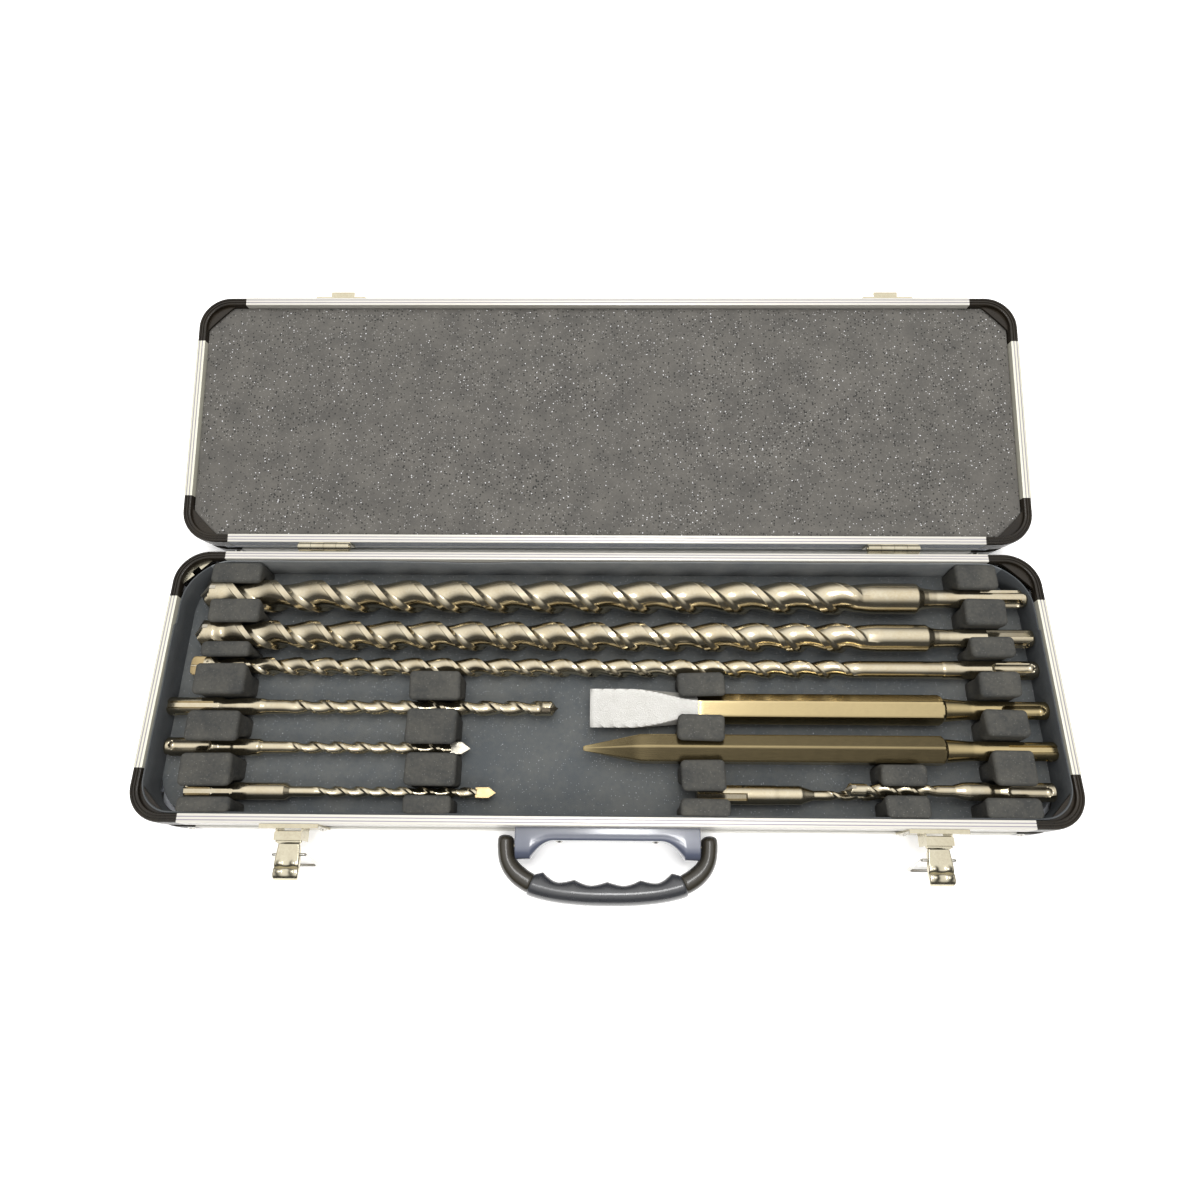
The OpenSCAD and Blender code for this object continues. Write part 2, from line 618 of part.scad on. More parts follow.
// One land and one flute for each half turn
function flute_outline(r, points) = [for (half = [0, 180], i = [0:points - 1])
  let (t = i / points, a = half + 180 * t, depth = t < 0.34 ? 1 : 1 - 0.42 * sin(180 * (t - 0.34) / 0.66))
  r * depth * [cos(a), sin(a)]];
head_l = 8;
plate_ratio = 0.18;
module carbide(d) {
  t = d * plate_ratio;
  rotate([90, 0, 0]) translate([0, 0, -t / 2]) linear_extrude(t)
    polygon([[0, 0], [d * 0.35, d / 2], [head_l - 1, d / 2], [head_l - 1, -d / 2], [d * 0.35, -d / 2]]);
}
module drill(d, length, flute_end, lead, slices, points) {
  turns = (flute_end - head_l) / lead;
  difference() {
    rotate([0, 90, 0]) {
      cylinder(d1 = d * 0.3, d2 = d * 0.9, h = d * 0.35);
      translate([0, 0, d * 0.35]) cylinder(d = d * 0.9, h = head_l - d * 0.35);
    }
    carbide(d);
  }
  carbide(d);
  translate([head_l, 0, 0]) rotate([0, 90, 0])
    linear_extrude(flute_end - head_l, twist = -360 * turns, slices = ceil(turns * slices), segments = 2 * points)
      polygon(flute_outline(d / 2, points));
}
module cone_run(from, to, d1, d2) { translate([from, 0, 0]) rotate([0, 90, 0]) cylinder(d1 = d1, d2 = d2, h = to - from); }

// Where each tool lies: [tip's x, shank end's x]. The others keep to the largest bit's ends, like the blocks.
long2 = [-221.3, 228.7];
long3 = [-222.4, 229.6];
chisel_end = long1[1] + 1.3;
left_end = long1[0] - 8.3;
lift = soft_gap;     // a tool lies this far above the floor foam
module lie(x, row, r) { translate([x, row, floor_z + lift + r]) children(); }

module drill_18() {
  l = long1[1] - long1[0];
  color(bronze) lie(long1[0], row1, bit1_d / 2) {
    drill(bit1_d, l, 360, 51.6, 14, 6);
    cone_run(360, 393.6, bit1_d * 0.94, bit1_d * 0.94);
    cone_run(393.6, 397, bit1_d * 0.94, 12.5);
    cone_run(397, 412, 12.5, shank_d);
    shank(412, l);
  }
}
module drill_16() {
  l = long2[1] - long2[0];
  color(bronze) lie(long2[0], row2, bit2_d / 2) {
    drill(bit2_d, l, 361, 43.6, 12, 6);
    cone_run(361, 396.6, bit2_d * 0.94, bit2_d * 0.94);
    cone_run(396.6, 400, bit2_d * 0.94, 12);
    cone_run(400, 412, 12, shank_d);
    shank(412, l);
  }
}
module drill_10() {
  l = long3[1] - long3[0];
  color(bronze) lie(long3[0], row3, max(bit3_d, shank_d) / 2) {
    drill(bit3_d, l, 354.4, 31.6, 10, 5);
    cone_run(354.4, 401.4, bit3_d * 0.94, bit3_d * 0.94);
    cone_run(401.4, 404, bit3_d * 0.94, shank_d);
    shank(404, l);
  }
}
// The small bits have a collar between the shank and the fluted part.
module small_drill(d, l, flute_end, lead, collar_d, collar_end, points) {
  drill(d, l, flute_end, lead, 10, points);
  cone_run(flute_end, collar_end - 3, d * 0.94, d * 0.94);
  cone_run(collar_end - 3, collar_end, d * 0.94, collar_d);
  cone_run(collar_end, collar_end + 12, collar_d, collar_d);
  cone_run(collar_end + 12, collar_end + 20, collar_d, shank_d * 0.72);
  cone_run(collar_end + 20, collar_end + 22, shank_d * 0.72, shank_d);
  shank(collar_end + 22, l);
}
module drill_8() {
  color(bronze) translate([left_end, row4, floor_z + lift + small_r]) rotate(180) translate([-205, 0, 0])
    small_drill(2 * drill8_r, 205, 140, 29, 9, 151, 5);
}
module drill_6_5() {
  color(bronze) translate([left_end + 2.8, row5, floor_z + lift + small_r]) rotate(180)
    translate([-157.5, 0, 0]) small_drill(2 * drill65_r, 157.5, 92, 25, 8.6, 104, 5);
}
module drill_5_5() {
  color(bronze) translate([left_end + 17.2, row6, floor_z + lift + small_r]) rotate(180)
    translate([-157.4, 0, 0]) small_drill(2 * drill55_r, 157.4, 90, 24, 8.8, 100, 5);
}
short_l = 103;
module drill_5_short() {
  color(bronze) translate([46.8, row6, floor_z + lift + small_r]) rotate(180) translate([-short_l, 0, 0])
    small_drill(2 * short5_r, short_l, 36, 20, 8.4, 44, 5);
}
short6_tilt = 2;     // the right-hand short bit leans on the left-hand one's tip
module drill_6_short() {
  color(bronze) translate([120.4, row6_right, floor_z + lift + 12]) rotate([0, short6_tilt, 0])
    small_drill(2 * short6_r, 104.5, 44, 22, 8.8, 54, 5);
}
module hex_bar(from, to, turn, less = 0) {
  translate([from, 0, 0]) rotate([0, 90, 0]) rotate(turn) cylinder(r = hex_corner - less, h = to - from, $fn = 6);
}
module flat_chisel() {
  l = chisel_end + 7.3;
  color(bronze) lie(-7.3, row4, hex_af / 2) {
    hull() {
      translate([0, -blade_w / 2, -0.6]) cube([0.2, blade_w, 1.2]);
      translate([22, -blade_w / 2, -2.8]) cube([1, blade_w, 5.6]);
    }
    hull() {
      translate([22, -blade_w / 2, -2.8]) cube([1, blade_w, 5.6]);
      hex_bar(57, 57.8, 30, 0.05);
    }
    hex_bar(57.4, 184, 30);
    cone_run(183, 187, hex_af - 0.6, 12);
    cone_run(187, 199, 12, shank_d);
    shank(199, l);
  }
}
module point_chisel() {
  l = chisel_end + 10.7;
  color(bronze) lie(-10.7, row5, hex_corner) {
    hull() {
      translate([0, -0.6, -0.6]) cube([0.2, 1.2, 1.2]);
      hex_bar(30, 30.8, 0, 0.05);
    }
    hex_bar(30.4, 185.6, 0);
    cone_run(184.6, 188.6, hex_af - 0.6, 12);
    cone_run(188.6, 200.6, 12, shank_d);
    shank(200.6, l);
  }
}

module base_rivets() { color(silver) in_base() for (p = base_places) rivet(p); }
module lid_rivets() { color(silver) in_lid() for (p = lid_places) rivet(p); }

base_bottom_panel();
base_front_panel();
base_back_panel();
base_side_panels();
base_corner_posts();
base_rim_front();
base_rim_back();
base_rim_sides();
base_rim_corners();
base_edge_profiles();
base_bottom_corners();
base_corner_brackets();
floor_foam_pad();
wall_liner();
foam_blocks_left();
foam_blocks_mid_left();
foam_blocks_mid_right();
foam_blocks_right();
foam_blocks_front();
hinge_base_leaves();
hinge_pins();
latch_plate_left();
latch_plate_right();
latch_pivot_pins();
handle_bracket();
handle_pins();
base_rivets();
lid_top_panel();
lid_front_panel();
lid_back_panel();
lid_side_panels();
lid_corner_posts();
lid_rim_front();
lid_rim_back();
lid_rim_sides();
lid_rim_corners();
lid_edge_profiles();
lid_top_corners();
lid_foam_pad();
hinge_lid_leaves();
catch_left();
catch_right();
lid_rivets();
latch_lever_left();
latch_lever_right();
latch_loop_left();
latch_loop_right();
handle_loop();
handle_grip();
drill_18();
drill_16();
drill_10();
drill_8();
drill_6_5();
drill_5_5();
drill_5_short();
drill_6_short();
flat_chisel();
point_chisel();
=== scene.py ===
import json
import math

import bpy
import numpy as np
from mathutils import Euler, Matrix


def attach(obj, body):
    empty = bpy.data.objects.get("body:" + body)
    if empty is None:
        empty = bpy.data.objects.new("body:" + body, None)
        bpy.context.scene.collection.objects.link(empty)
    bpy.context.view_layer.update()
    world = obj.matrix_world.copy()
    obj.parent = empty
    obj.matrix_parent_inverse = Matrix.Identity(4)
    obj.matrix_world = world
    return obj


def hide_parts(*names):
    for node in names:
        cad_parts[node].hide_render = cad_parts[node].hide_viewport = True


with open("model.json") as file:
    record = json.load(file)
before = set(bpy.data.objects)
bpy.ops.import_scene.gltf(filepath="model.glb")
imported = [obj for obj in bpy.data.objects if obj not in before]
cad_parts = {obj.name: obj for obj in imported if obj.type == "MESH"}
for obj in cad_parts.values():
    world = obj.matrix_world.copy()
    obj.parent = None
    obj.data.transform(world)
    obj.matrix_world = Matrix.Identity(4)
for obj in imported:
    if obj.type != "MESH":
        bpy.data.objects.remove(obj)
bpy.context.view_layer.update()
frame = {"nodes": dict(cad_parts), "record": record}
nodes = frame["nodes"]
print("stage: frame loaded")

mm = 0.001  # all shapes below are worked out in millimetres


shot = {"focal": 24.297, "shiftX": 0.0068, "shiftY": 0.0002,
        "place": (-1.09, -110.59, 434.88), "turn": (20.961, 0.598, 0.527)}
studio = {"sky": (1.0, 0.99, 0.97), "skyDark": 0.09, "skyBright": 1.55, "skyAim": (-0.06, 0.22, 0.974),
          "floor": (0.98, 0.98, 0.98),
          # place, length along x, depth, power, colour, and whether polished metal shows the lamp
          "lamps": [((0.08, 0.40, 1.25), 1.2, 0.90, 10.0, (1.0, 0.99, 0.97), False),
                    ((0.08, -0.85, 0.85), 0.6, 0.50, 8.0, (1.0, 0.98, 0.95), False),
                    ((0.04, 0.02, 1.10), 0.50, 0.11, 2.6, (1.0, 1.0, 1.0), True)]}


def makeCamera():
    data = bpy.data.cameras.new("caseCamera")
    data.lens, data.sensor_width = shot["focal"], 36
    data.shift_x, data.shift_y = shot["shiftX"], shot["shiftY"]
    data.clip_start, data.clip_end = 0.01, 20
    camera = bpy.data.objects.new("caseCamera", data)
    camera.location = [v * mm for v in shot["place"]]
    camera.rotation_euler = Euler([math.radians(a) for a in shot["turn"]], "XYZ")
    bpy.context.scene.collection.objects.link(camera)
    bpy.context.scene.camera = camera


def makeStudio():
    world = bpy.data.worlds.new("paleStudio")
    bpy.context.scene.world = world
    world.use_nodes = True
    background = world.node_tree.nodes["Background"]
    background.inputs["Color"].default_value = (*studio["sky"], 1)
    tree = world.node_tree
    way = tree.nodes.new("ShaderNodeTexCoord").outputs["Generated"]
    towards = tree.nodes.new("ShaderNodeVectorMath")
    towards.operation = "DOT_PRODUCT"
    towards.inputs[1].default_value = studio["skyAim"]
    ramp = tree.nodes.new("ShaderNodeMapRange")
    ramp.interpolation_type = "SMOOTHSTEP"
    for socket, value in (("From Min", 0.36), ("From Max", 1.0), ("To Min", studio["skyDark"]),
            ("To Max", studio["skyBright"])):
        ramp.inputs[socket].default_value = value
    tree.links.new(way, towards.inputs[0])
    tree.links.new(towards.outputs["Value"], ramp.inputs["Value"])
    tree.links.new(ramp.outputs["Result"], background.inputs["Strength"])
    bpy.context.scene.view_settings.view_transform = "Standard"
    for i, (place, length, depth, power, colour, shown) in enumerate(studio["lamps"]):
        data = bpy.data.lights.new(f"softLamp{i}", "AREA")
        data.shape = "RECTANGLE"
        data.size, data.size_y, data.energy, data.color = length, depth, power, colour
        lamp = bpy.data.objects.new(f"softLamp{i}", data)
        lamp.location = place
        lamp.visible_glossy = shown
        aim = np.array([0, 0.02, 0.02]) - np.array(place)
        lamp.rotation_euler = (math.atan2(math.hypot(aim[0], aim[1]), -aim[2]), 0,
                math.atan2(-aim[0], aim[1]))
        bpy.context.scene.collection.objects.link(lamp)


def newGroup(name, inputs, outputs):
    group = bpy.data.node_groups.new(name, "ShaderNodeTree")
    for label, kind, value in inputs:
        socket = group.interface.new_socket(label, in_out="INPUT", socket_type=kind)
        socket.default_value = value
    for label, kind in outputs:
        group.interface.new_socket(label, in_out="OUTPUT", socket_type=kind)
    return group, group.nodes.new("NodeGroupInput"), group.nodes.new("NodeGroupOutput")


def addNode(tree, kind, links=(), **settings):
    """A node of that kind, its settings by name, and its inputs set or linked by socket name."""
    node = tree.nodes.new(kind)
    for key, value in settings.items():
        setattr(node, key, value)
    for socket, value in dict(links).items():
        if isinstance(value, bpy.types.NodeSocket):
            tree.links.new(value, node.inputs[socket])
        else:
            node.inputs[socket].default_value = value
    return node


def mathNode(tree, operation, a, b=0.0, clamp=False):
    return addNode(tree, "ShaderNodeMath", {0: a, 1: b}, operation=operation, use_clamp=clamp).outputs[0]


def mottleGroup():
    """Soft patches: two noises mixed, which darken a colour and vary its roughness."""
    group, source, out = newGroup("mottle", [
        ("Colour", "NodeSocketColor", (0.5, 0.5, 0.5, 1)),
        ("Patch Colour", "NodeSocketColor", (0.3, 0.3, 0.3, 1)),
        ("Amount", "NodeSocketFloat", 0.3), ("Scale", "NodeSocketFloat", 60.0),
        ("Roughness", "NodeSocketFloat", 0.5), ("Roughness Spread", "NodeSocketFloat", 0.1)],
        [("Colour", "NodeSocketColor"), ("Roughness", "NodeSocketFloat")])
    place = addNode(group, "ShaderNodeTexCoord").outputs["Object"]
    wide = addNode(group, "ShaderNodeTexNoise",
            {"Vector": place, "Scale": source.outputs["Scale"], "Detail": 5.0})
    fineScale = mathNode(group, "MULTIPLY", source.outputs["Scale"], 9.0)
    fine = addNode(group, "ShaderNodeTexNoise", {"Vector": place, "Scale": fineScale, "Detail": 2.0})
    both = mathNode(group, "ADD", mathNode(group, "MULTIPLY", wide.outputs[0], 0.65),
            mathNode(group, "MULTIPLY", fine.outputs[0], 0.35))
    mask = addNode(group, "ShaderNodeMapRange",
            {"Value": both, "From Min": 0.36, "From Max": 0.64}).outputs[0]
    share = mathNode(group, "MULTIPLY", mask, source.outputs["Amount"], clamp=True)
    mixed = addNode(group, "ShaderNodeMix",
            {0: share, 6: source.outputs["Colour"], 7: source.outputs["Patch Colour"]}, data_type="RGBA")
    group.links.new(mixed.outputs[2], out.inputs["Colour"])
    spread = mathNode(group, "MULTIPLY", mathNode(group, "SUBTRACT", fine.outputs[0], 0.5),
            source.outputs["Roughness Spread"])
    group.links.new(mathNode(group, "ADD", source.outputs["Roughness"], spread, clamp=True),
            out.inputs["Roughness"])
    return group


def speckleGroup():
    """Scattered small light specks, denser where a slow noise is high."""
    group, source, out = newGroup("speckle", [
        ("Scale", "NodeSocketFloat", 300.0), ("Size", "NodeSocketFloat", 0.16),
        ("Share", "NodeSocketFloat", 0.5)],
        [("Mask", "NodeSocketFloat")])
    place = addNode(group, "ShaderNodeTexCoord").outputs["Object"]
    cells = addNode(group, "ShaderNodeTexVoronoi",
            {"Vector": place, "Scale": source.outputs["Scale"], "Randomness": 1.0})
    slow = addNode(group, "ShaderNodeTexNoise", {"Vector": place, "Scale": 22.0, "Detail": 4.0})
    wanted = addNode(group, "ShaderNodeMapRange",
            {"Value": slow.outputs[0], "From Min": -0.8, "From Max": 0.7})
    size = mathNode(group, "MULTIPLY", source.outputs["Size"], wanted.outputs[0])
    dot = mathNode(group, "LESS_THAN", cells.outputs["Distance"], size)
    perCell = addNode(group, "ShaderNodeSeparateColor", {"Color": cells.outputs["Color"]}).outputs[0]
    few = mathNode(group, "LESS_THAN", perCell, source.outputs["Share"])
    group.links.new(mathNode(group, "MULTIPLY", dot, few), out.inputs["Mask"])
    return group


def grainGroup():
    """Fine noise height, stretched by three scales, for foam cells, brushing, blasting and moulded grain."""
    group, source, out = newGroup("grain", [
        ("Stretch", "NodeSocketVector", (1.0, 1.0, 1.0)), ("Scale", "NodeSocketFloat", 900.0),
        ("Detail", "NodeSocketFloat", 3.0)], [("Height", "NodeSocketFloat")])
    place = addNode(group, "ShaderNodeTexCoord").outputs["Object"]
    stretched = addNode(group, "ShaderNodeVectorMath", {0: place, 1: source.outputs["Stretch"]},
            operation="MULTIPLY")
    noise = addNode(group, "ShaderNodeTexNoise",
            {"Vector": stretched.outputs[0], "Scale": source.outputs["Scale"],
            "Detail": source.outputs["Detail"]})
    group.links.new(noise.outputs[0], out.inputs["Height"])
    return group


mottle, speckle, grain = mottleGroup(), speckleGroup(), grainGroup()


def makeMaterial(name, finish):
    """One finish: mottled colour, optional specks, a bump from stretched grain, and plain shader values."""
    material = bpy.data.materials.new(name)
    material.use_nodes = True
    tree = material.node_tree
    shader = tree.nodes["Principled BSDF"]
    colour, patch = finish["colour"], finish.get("patch", tuple(0.6 * c for c in finish["colour"]))
    base = addNode(tree, "ShaderNodeGroup", node_tree=mottle, links={
        "Colour": (*colour, 1), "Patch Colour": (*patch, 1), "Amount": finish.get("amount", 0.35),
        "Scale": finish.get("patchScale", 40.0), "Roughness": finish["rough"],
        "Roughness Spread": finish.get("roughSpread", 0.25)})
    surface = base.outputs["Colour"]
    for speckColour, scale, size, share in finish.get("specks", ()):
        dots = addNode(tree, "ShaderNodeGroup", node_tree=speckle,
                links={"Scale": scale, "Size": size, "Share": share})
        mixed = addNode(tree, "ShaderNodeMix", {0: dots.outputs["Mask"], 6: surface, 7: (*speckColour, 1)},
                        data_type="RGBA")
        surface = mixed.outputs[2]
    tree.links.new(surface, shader.inputs["Base Color"])
    tree.links.new(base.outputs["Roughness"], shader.inputs["Roughness"])
    for socket, key, usual in (("Metallic", "metal", 0.0), ("Specular IOR Level", "specular", 0.5),
                               ("Coat Weight", "coat", 0.0), ("Coat Roughness", "coatRough", 0.1)):
        shader.inputs[socket].default_value = finish.get(key, usual)
    if finish.get("bump"):
        cells = addNode(tree, "ShaderNodeGroup", node_tree=grain, links={
            "Stretch": finish.get("stretch", (1, 1, 1)), "Scale": finish.get("grain", 900.0)})
        bump = addNode(tree, "ShaderNodeBump",
                {"Strength": finish["bump"], "Distance": finish.get("depth", 0.0004),
                "Height": cells.outputs["Height"]})
        tree.links.new(bump.outputs["Normal"], shader.inputs["Normal"])
    return material


finishes = {
    "rimAluminium": {"colour": (0.56, 0.545, 0.495), "patch": (0.53, 0.51, 0.48), "metal": 0.4,
        "rough": 0.36, "stretch": (0.02, 1, 1), "grain": 2600, "bump": 0.10, "patchScale": 25},
    # painted light: the side rims are the same aluminium as the front and back rims, coloured lighter and
    # yellower
    "sideAluminium": {"colour": (0.62, 0.61, 0.52), "patch": (0.55, 0.54, 0.45), "metal": 0.4,
        "rough": 0.36, "stretch": (1, 0.02, 1), "grain": 2600, "bump": 0.10, "patchScale": 25},
    # painted shade: the rims' grooves and flange lines are coloured darker to stand in for the shade inside
    # them
    "groovePaintedShade": {"colour": (0.30, 0.28, 0.33), "patch": (0.24, 0.22, 0.27), "metal": 0.3, "rough": 0.5},
    "cornerBlack": {"colour": (0.010, 0.008, 0.006), "patch": (0.028, 0.020, 0.010), "rough": 0.30,
        "coat": 0.12, "bump": 0.05, "grain": 700, "specular": 0.22},
    "wallBoard": {"colour": (0.58, 0.60, 0.64), "patch": (0.46, 0.48, 0.53), "metal": 0.3, "rough": 0.42,
        "bump": 0.55, "grain": 420, "depth": 0.0003, "patchScale": 90},
    "trayFoam": {"colour": (0.062, 0.069, 0.074), "patch": (0.108, 0.110, 0.104), "amount": 0.6,
        "rough": 0.85, "specular": 0.25, "bump": 0.5, "grain": 2300, "patchScale": 45,
        "specks": [((0.20, 0.21, 0.22), 1000.0, 0.24, 0.25), ((0.6, 0.62, 0.64), 300.0, 0.07, 0.05)]},
    # painted light: the liner's back wall is coloured lighter than the floor foam, standing in for the light
    # it catches
    "linerFoam": {"colour": (0.125, 0.136, 0.146), "patch": (0.180, 0.186, 0.186), "amount": 0.85,
        "rough": 0.85, "specular": 0.25, "bump": 0.5, "grain": 2300, "patchScale": 18,
        "specks": [((0.24, 0.25, 0.26), 1000.0, 0.22, 0.25)]},
    # painted shade: the liner's side and front walls get this darker copy of the same foam
    "linerPaintedShadeFoam": {"colour": (0.058, 0.064, 0.070), "patch": (0.090, 0.094, 0.096), "amount": 0.6,
        "rough": 0.85, "specular": 0.2, "bump": 0.5, "grain": 2300, "patchScale": 18},
    "blockFoam": {"colour": (0.040, 0.041, 0.040), "patch": (0.074, 0.072, 0.064), "amount": 0.95,
        "rough": 0.9, "specular": 0.22, "bump": 0.7, "grain": 1900, "patchScale": 70,
        "specks": [((0.15, 0.15, 0.14), 1100.0, 0.20, 0.3)]},
    "lidFoam": {"colour": (0.078, 0.075, 0.070), "patch": (0.120, 0.114, 0.104), "amount": 0.8,
        "rough": 0.88, "specular": 0.25, "bump": 0.7, "grain": 1500, "patchScale": 75,
        "specks": [((0.034, 0.034, 0.032), 640.0, 0.36, 0.45), ((0.22, 0.215, 0.205), 760.0, 0.28, 0.40),
        ((0.60, 0.60, 0.62), 430.0, 0.155, 0.36)]},
    "paleZinc": {"colour": (0.54, 0.50, 0.385), "patch": (0.38, 0.325, 0.22), "metal": 1.0, "rough": 0.20,
        "bump": 0.05, "grain": 500, "patchScale": 90},
    "bronzeSteel": {"colour": (0.56, 0.505, 0.385), "patch": (0.45, 0.345, 0.18), "metal": 1.0,
        "rough": 0.20, "roughSpread": 0.16, "bump": 0.03, "grain": 1400, "stretch": (0.06, 1, 1),
        "patchScale": 95},
    "hexSteel": {"colour": (0.46, 0.37, 0.20), "patch": (0.39, 0.31, 0.17), "metal": 1.0, "rough": 0.23,
        "roughSpread": 0.12, "bump": 0.035, "grain": 1500, "stretch": (0.08, 1, 1), "patchScale": 40},
    "groundSteel": {"colour": (0.49, 0.485, 0.465), "patch": (0.38, 0.37, 0.34), "metal": 0.55,
        "rough": 0.45, "roughSpread": 0.35, "bump": 0.4, "grain": 1700, "patchScale": 160},
    "carbidePale": {"colour": (0.52, 0.49, 0.42), "patch": (0.40, 0.36, 0.28), "metal": 0.9, "rough": 0.35,
        "bump": 0.2, "grain": 1500},
    "carbideDark": {"colour": (0.16, 0.135, 0.10), "patch": (0.10, 0.08, 0.055), "metal": 0.9,
        "rough": 0.35, "bump": 0.2, "grain": 1500},
    "carbideGold": {"colour": (0.52, 0.40, 0.21), "patch": (0.42, 0.31, 0.16), "metal": 0.9, "rough": 0.38,
        "bump": 0.2, "grain": 1500},
    "bracketGloss": {"colour": (0.060, 0.070, 0.105), "patch": (0.10, 0.108, 0.145), "rough": 0.22,
        "roughSpread": 0.05, "coat": 1.0, "coatRough": 0.09, "specular": 0.8, "patchScale": 18},
    "handleGloss": {"colour": (0.020, 0.0175, 0.0125), "patch": (0.034, 0.029, 0.020), "rough": 0.26,
        "roughSpread": 0.05, "coat": 0.3, "coatRough": 0.12, "specular": 0.4},
    "gripSatin": {"colour": (0.022, 0.0235, 0.028), "patch": (0.036, 0.036, 0.038), "rough": 0.28,
        "roughSpread": 0.06, "coat": 0.8, "coatRough": 0.17, "specular": 0.6},
    # painted shade: the back rims' outer faces, seen in the gap between the shells, are coloured dark
    "paintedGapShade": {"colour": (0.085, 0.10, 0.125), "patch": (0.20, 0.22, 0.26), "metal": 0.3, "rough": 0.3,
        "patchScale": 160, "bump": 0.6, "grain": 700},
    "boltSteel": {"colour": (0.56, 0.55, 0.52), "patch": (0.36, 0.34, 0.30), "metal": 1.0, "rough": 0.22,
        "bump": 0.1, "grain": 900},
}
materials = {name: makeMaterial(name, finish) for name, finish in finishes.items()}
print("stage: materials")


def meshObject(name, points, faces, finish, sharp=38):
    mesh = bpy.data.meshes.new(name)
    mesh.from_pydata(np.asarray(points, float) * mm, [], faces)
    mesh.validate()
    mesh.shade_smooth()
    mesh.set_sharp_from_angle(angle=math.radians(sharp))
    mesh.materials.append(materials[finish])
    piece = bpy.data.objects.new(name, mesh)
    bpy.context.scene.collection.objects.link(piece)
    return piece


def carry(piece, body, node):
    """Puts a piece on its body in place of its CAD node, and hides that node."""
    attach(piece, body)
    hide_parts(node)


def tube(points, flip=False, loopRows=False):
    """Points and faces of a grid whose columns loop, with a face over each open end."""
    rows, columns = points.shape[:2]
    r, c = np.arange(rows if loopRows else rows - 1)[:, None], np.arange(columns)[None, :]
    a, b = r * columns + c, r * columns + (c + 1) % columns
    d, e = ((r + 1) % rows) * columns + c, ((r + 1) % rows) * columns + (c + 1) % columns
    quads = np.stack([a, b, e, d], -1).reshape(-1, 4)
    faces = (quads[:, ::-1] if flip else quads).tolist()
    if not loopRows:
        ends = [list(range(columns))[::-1], list(range((rows - 1) * columns, rows * columns))]
        faces += [face[::-1] if flip else face for face in ends]
    return points.reshape(-1, 3), faces


def joined(parts):
    """Several (points, faces) as one."""
    allPoints, allFaces, start = [], [], 0
    for points, faces in parts:
        allPoints.append(np.asarray(points, float).reshape(-1, 3))
        allFaces += [[i + start for i in face] for face in faces]
        start += len(allPoints[-1])
    return np.concatenate(allPoints), allFaces


def smooth(t):
    t = np.clip(t, 0, 1)
    return t * t * (3 - 2 * t)


case = {"length": 470.0, "depth": 145.0, "baseHeight": 30.0, "lidHeight": 28.0, "corner": 18.0,
        "gap": 0.4, "open": 168.0, "hingeOut": 2.7, "rimWidth": 4.5, "flange": 11.0, "cornerLeg": 26.5,
        "edgeLeg": 9.0}
halfL, halfD = case["length"] / 2, case["depth"] / 2


def lidTurn(points):
    """Points of the closed lid, turned about the hinge axis to where the open lid is."""
    y0, z0, a = halfD + case["hingeOut"], case["baseHeight"] + case["gap"] / 2, -math.radians(case["open"])
    p = np.asarray(points, float).copy()
    y, z = p[..., 1] - y0, p[..., 2] - z0
    p[..., 1], p[..., 2] = y0 + y * math.cos(a) - z * math.sin(a), z0 + y * math.sin(a) + z * math.cos(a)
    return p


def placeShell(points, shell):
    """Points drawn with the rim at z = 0 and the board below it, put in the base or in the open lid."""
    p = np.asarray(points, float).copy()
    if shell == "base":
        p[..., 2] += case["baseHeight"]
        return p
    p[..., 2] = case["baseHeight"] + case["gap"] - p[..., 2]
    return lidTurn(p)


def sideRun(side, start, end, profile):
    """A profile of (inset, height) carried straight along side 0 front, 1 right, 2 back or 3 left."""
    along = np.array([start, end])[:, None]
    inset, height = profile[None, :, 0], profile[None, :, 1]
    half = halfD if side % 2 == 0 else halfL
    x, y = along + 0 * inset, -half + inset + 0 * along
    turn = side * math.pi / 2
    return np.stack([x * math.cos(turn) - y * math.sin(turn), x * math.sin(turn) + y * math.cos(turn),
            height + 0 * x], -1)


def cornerRun(k, profile, leg):
    """A profile carried round corner k, between side k and the next one, with a straight leg at each end."""
    r, run = case["corner"], leg - case["corner"]
    sx, sy = (1 if k in (0, 1) else -1), (1 if k in (1, 2) else -1)
    centre = np.array([sx * (halfL - r), sy * (halfD - r)])
    arc = np.concatenate([[0], np.linspace(0, 90, 20), [90]])
    a = np.radians(arc + 90 * k - 90)
    shift = np.zeros((len(arc), 2))
    shift[0] = -run * np.array([-math.sin(a[0]), math.cos(a[0])])
    shift[-1] = run * np.array([-math.sin(a[-1]), math.cos(a[-1])])
    radius = (r - profile[:, 0])[None, :]
    x = centre[0] + shift[:, 0, None] + np.cos(a)[:, None] * radius
    y = centre[1] + shift[:, 1, None] + np.sin(a)[:, None] * radius
    return np.stack([x, y, profile[None, :, 1] + 0 * x], -1)


rim = {"grooves": (1.15, 2.75), "groove": 0.5, "deep": 0.2, "lines": (-9.2, -7.2, -5.0, -2.8), "line": 0.5}


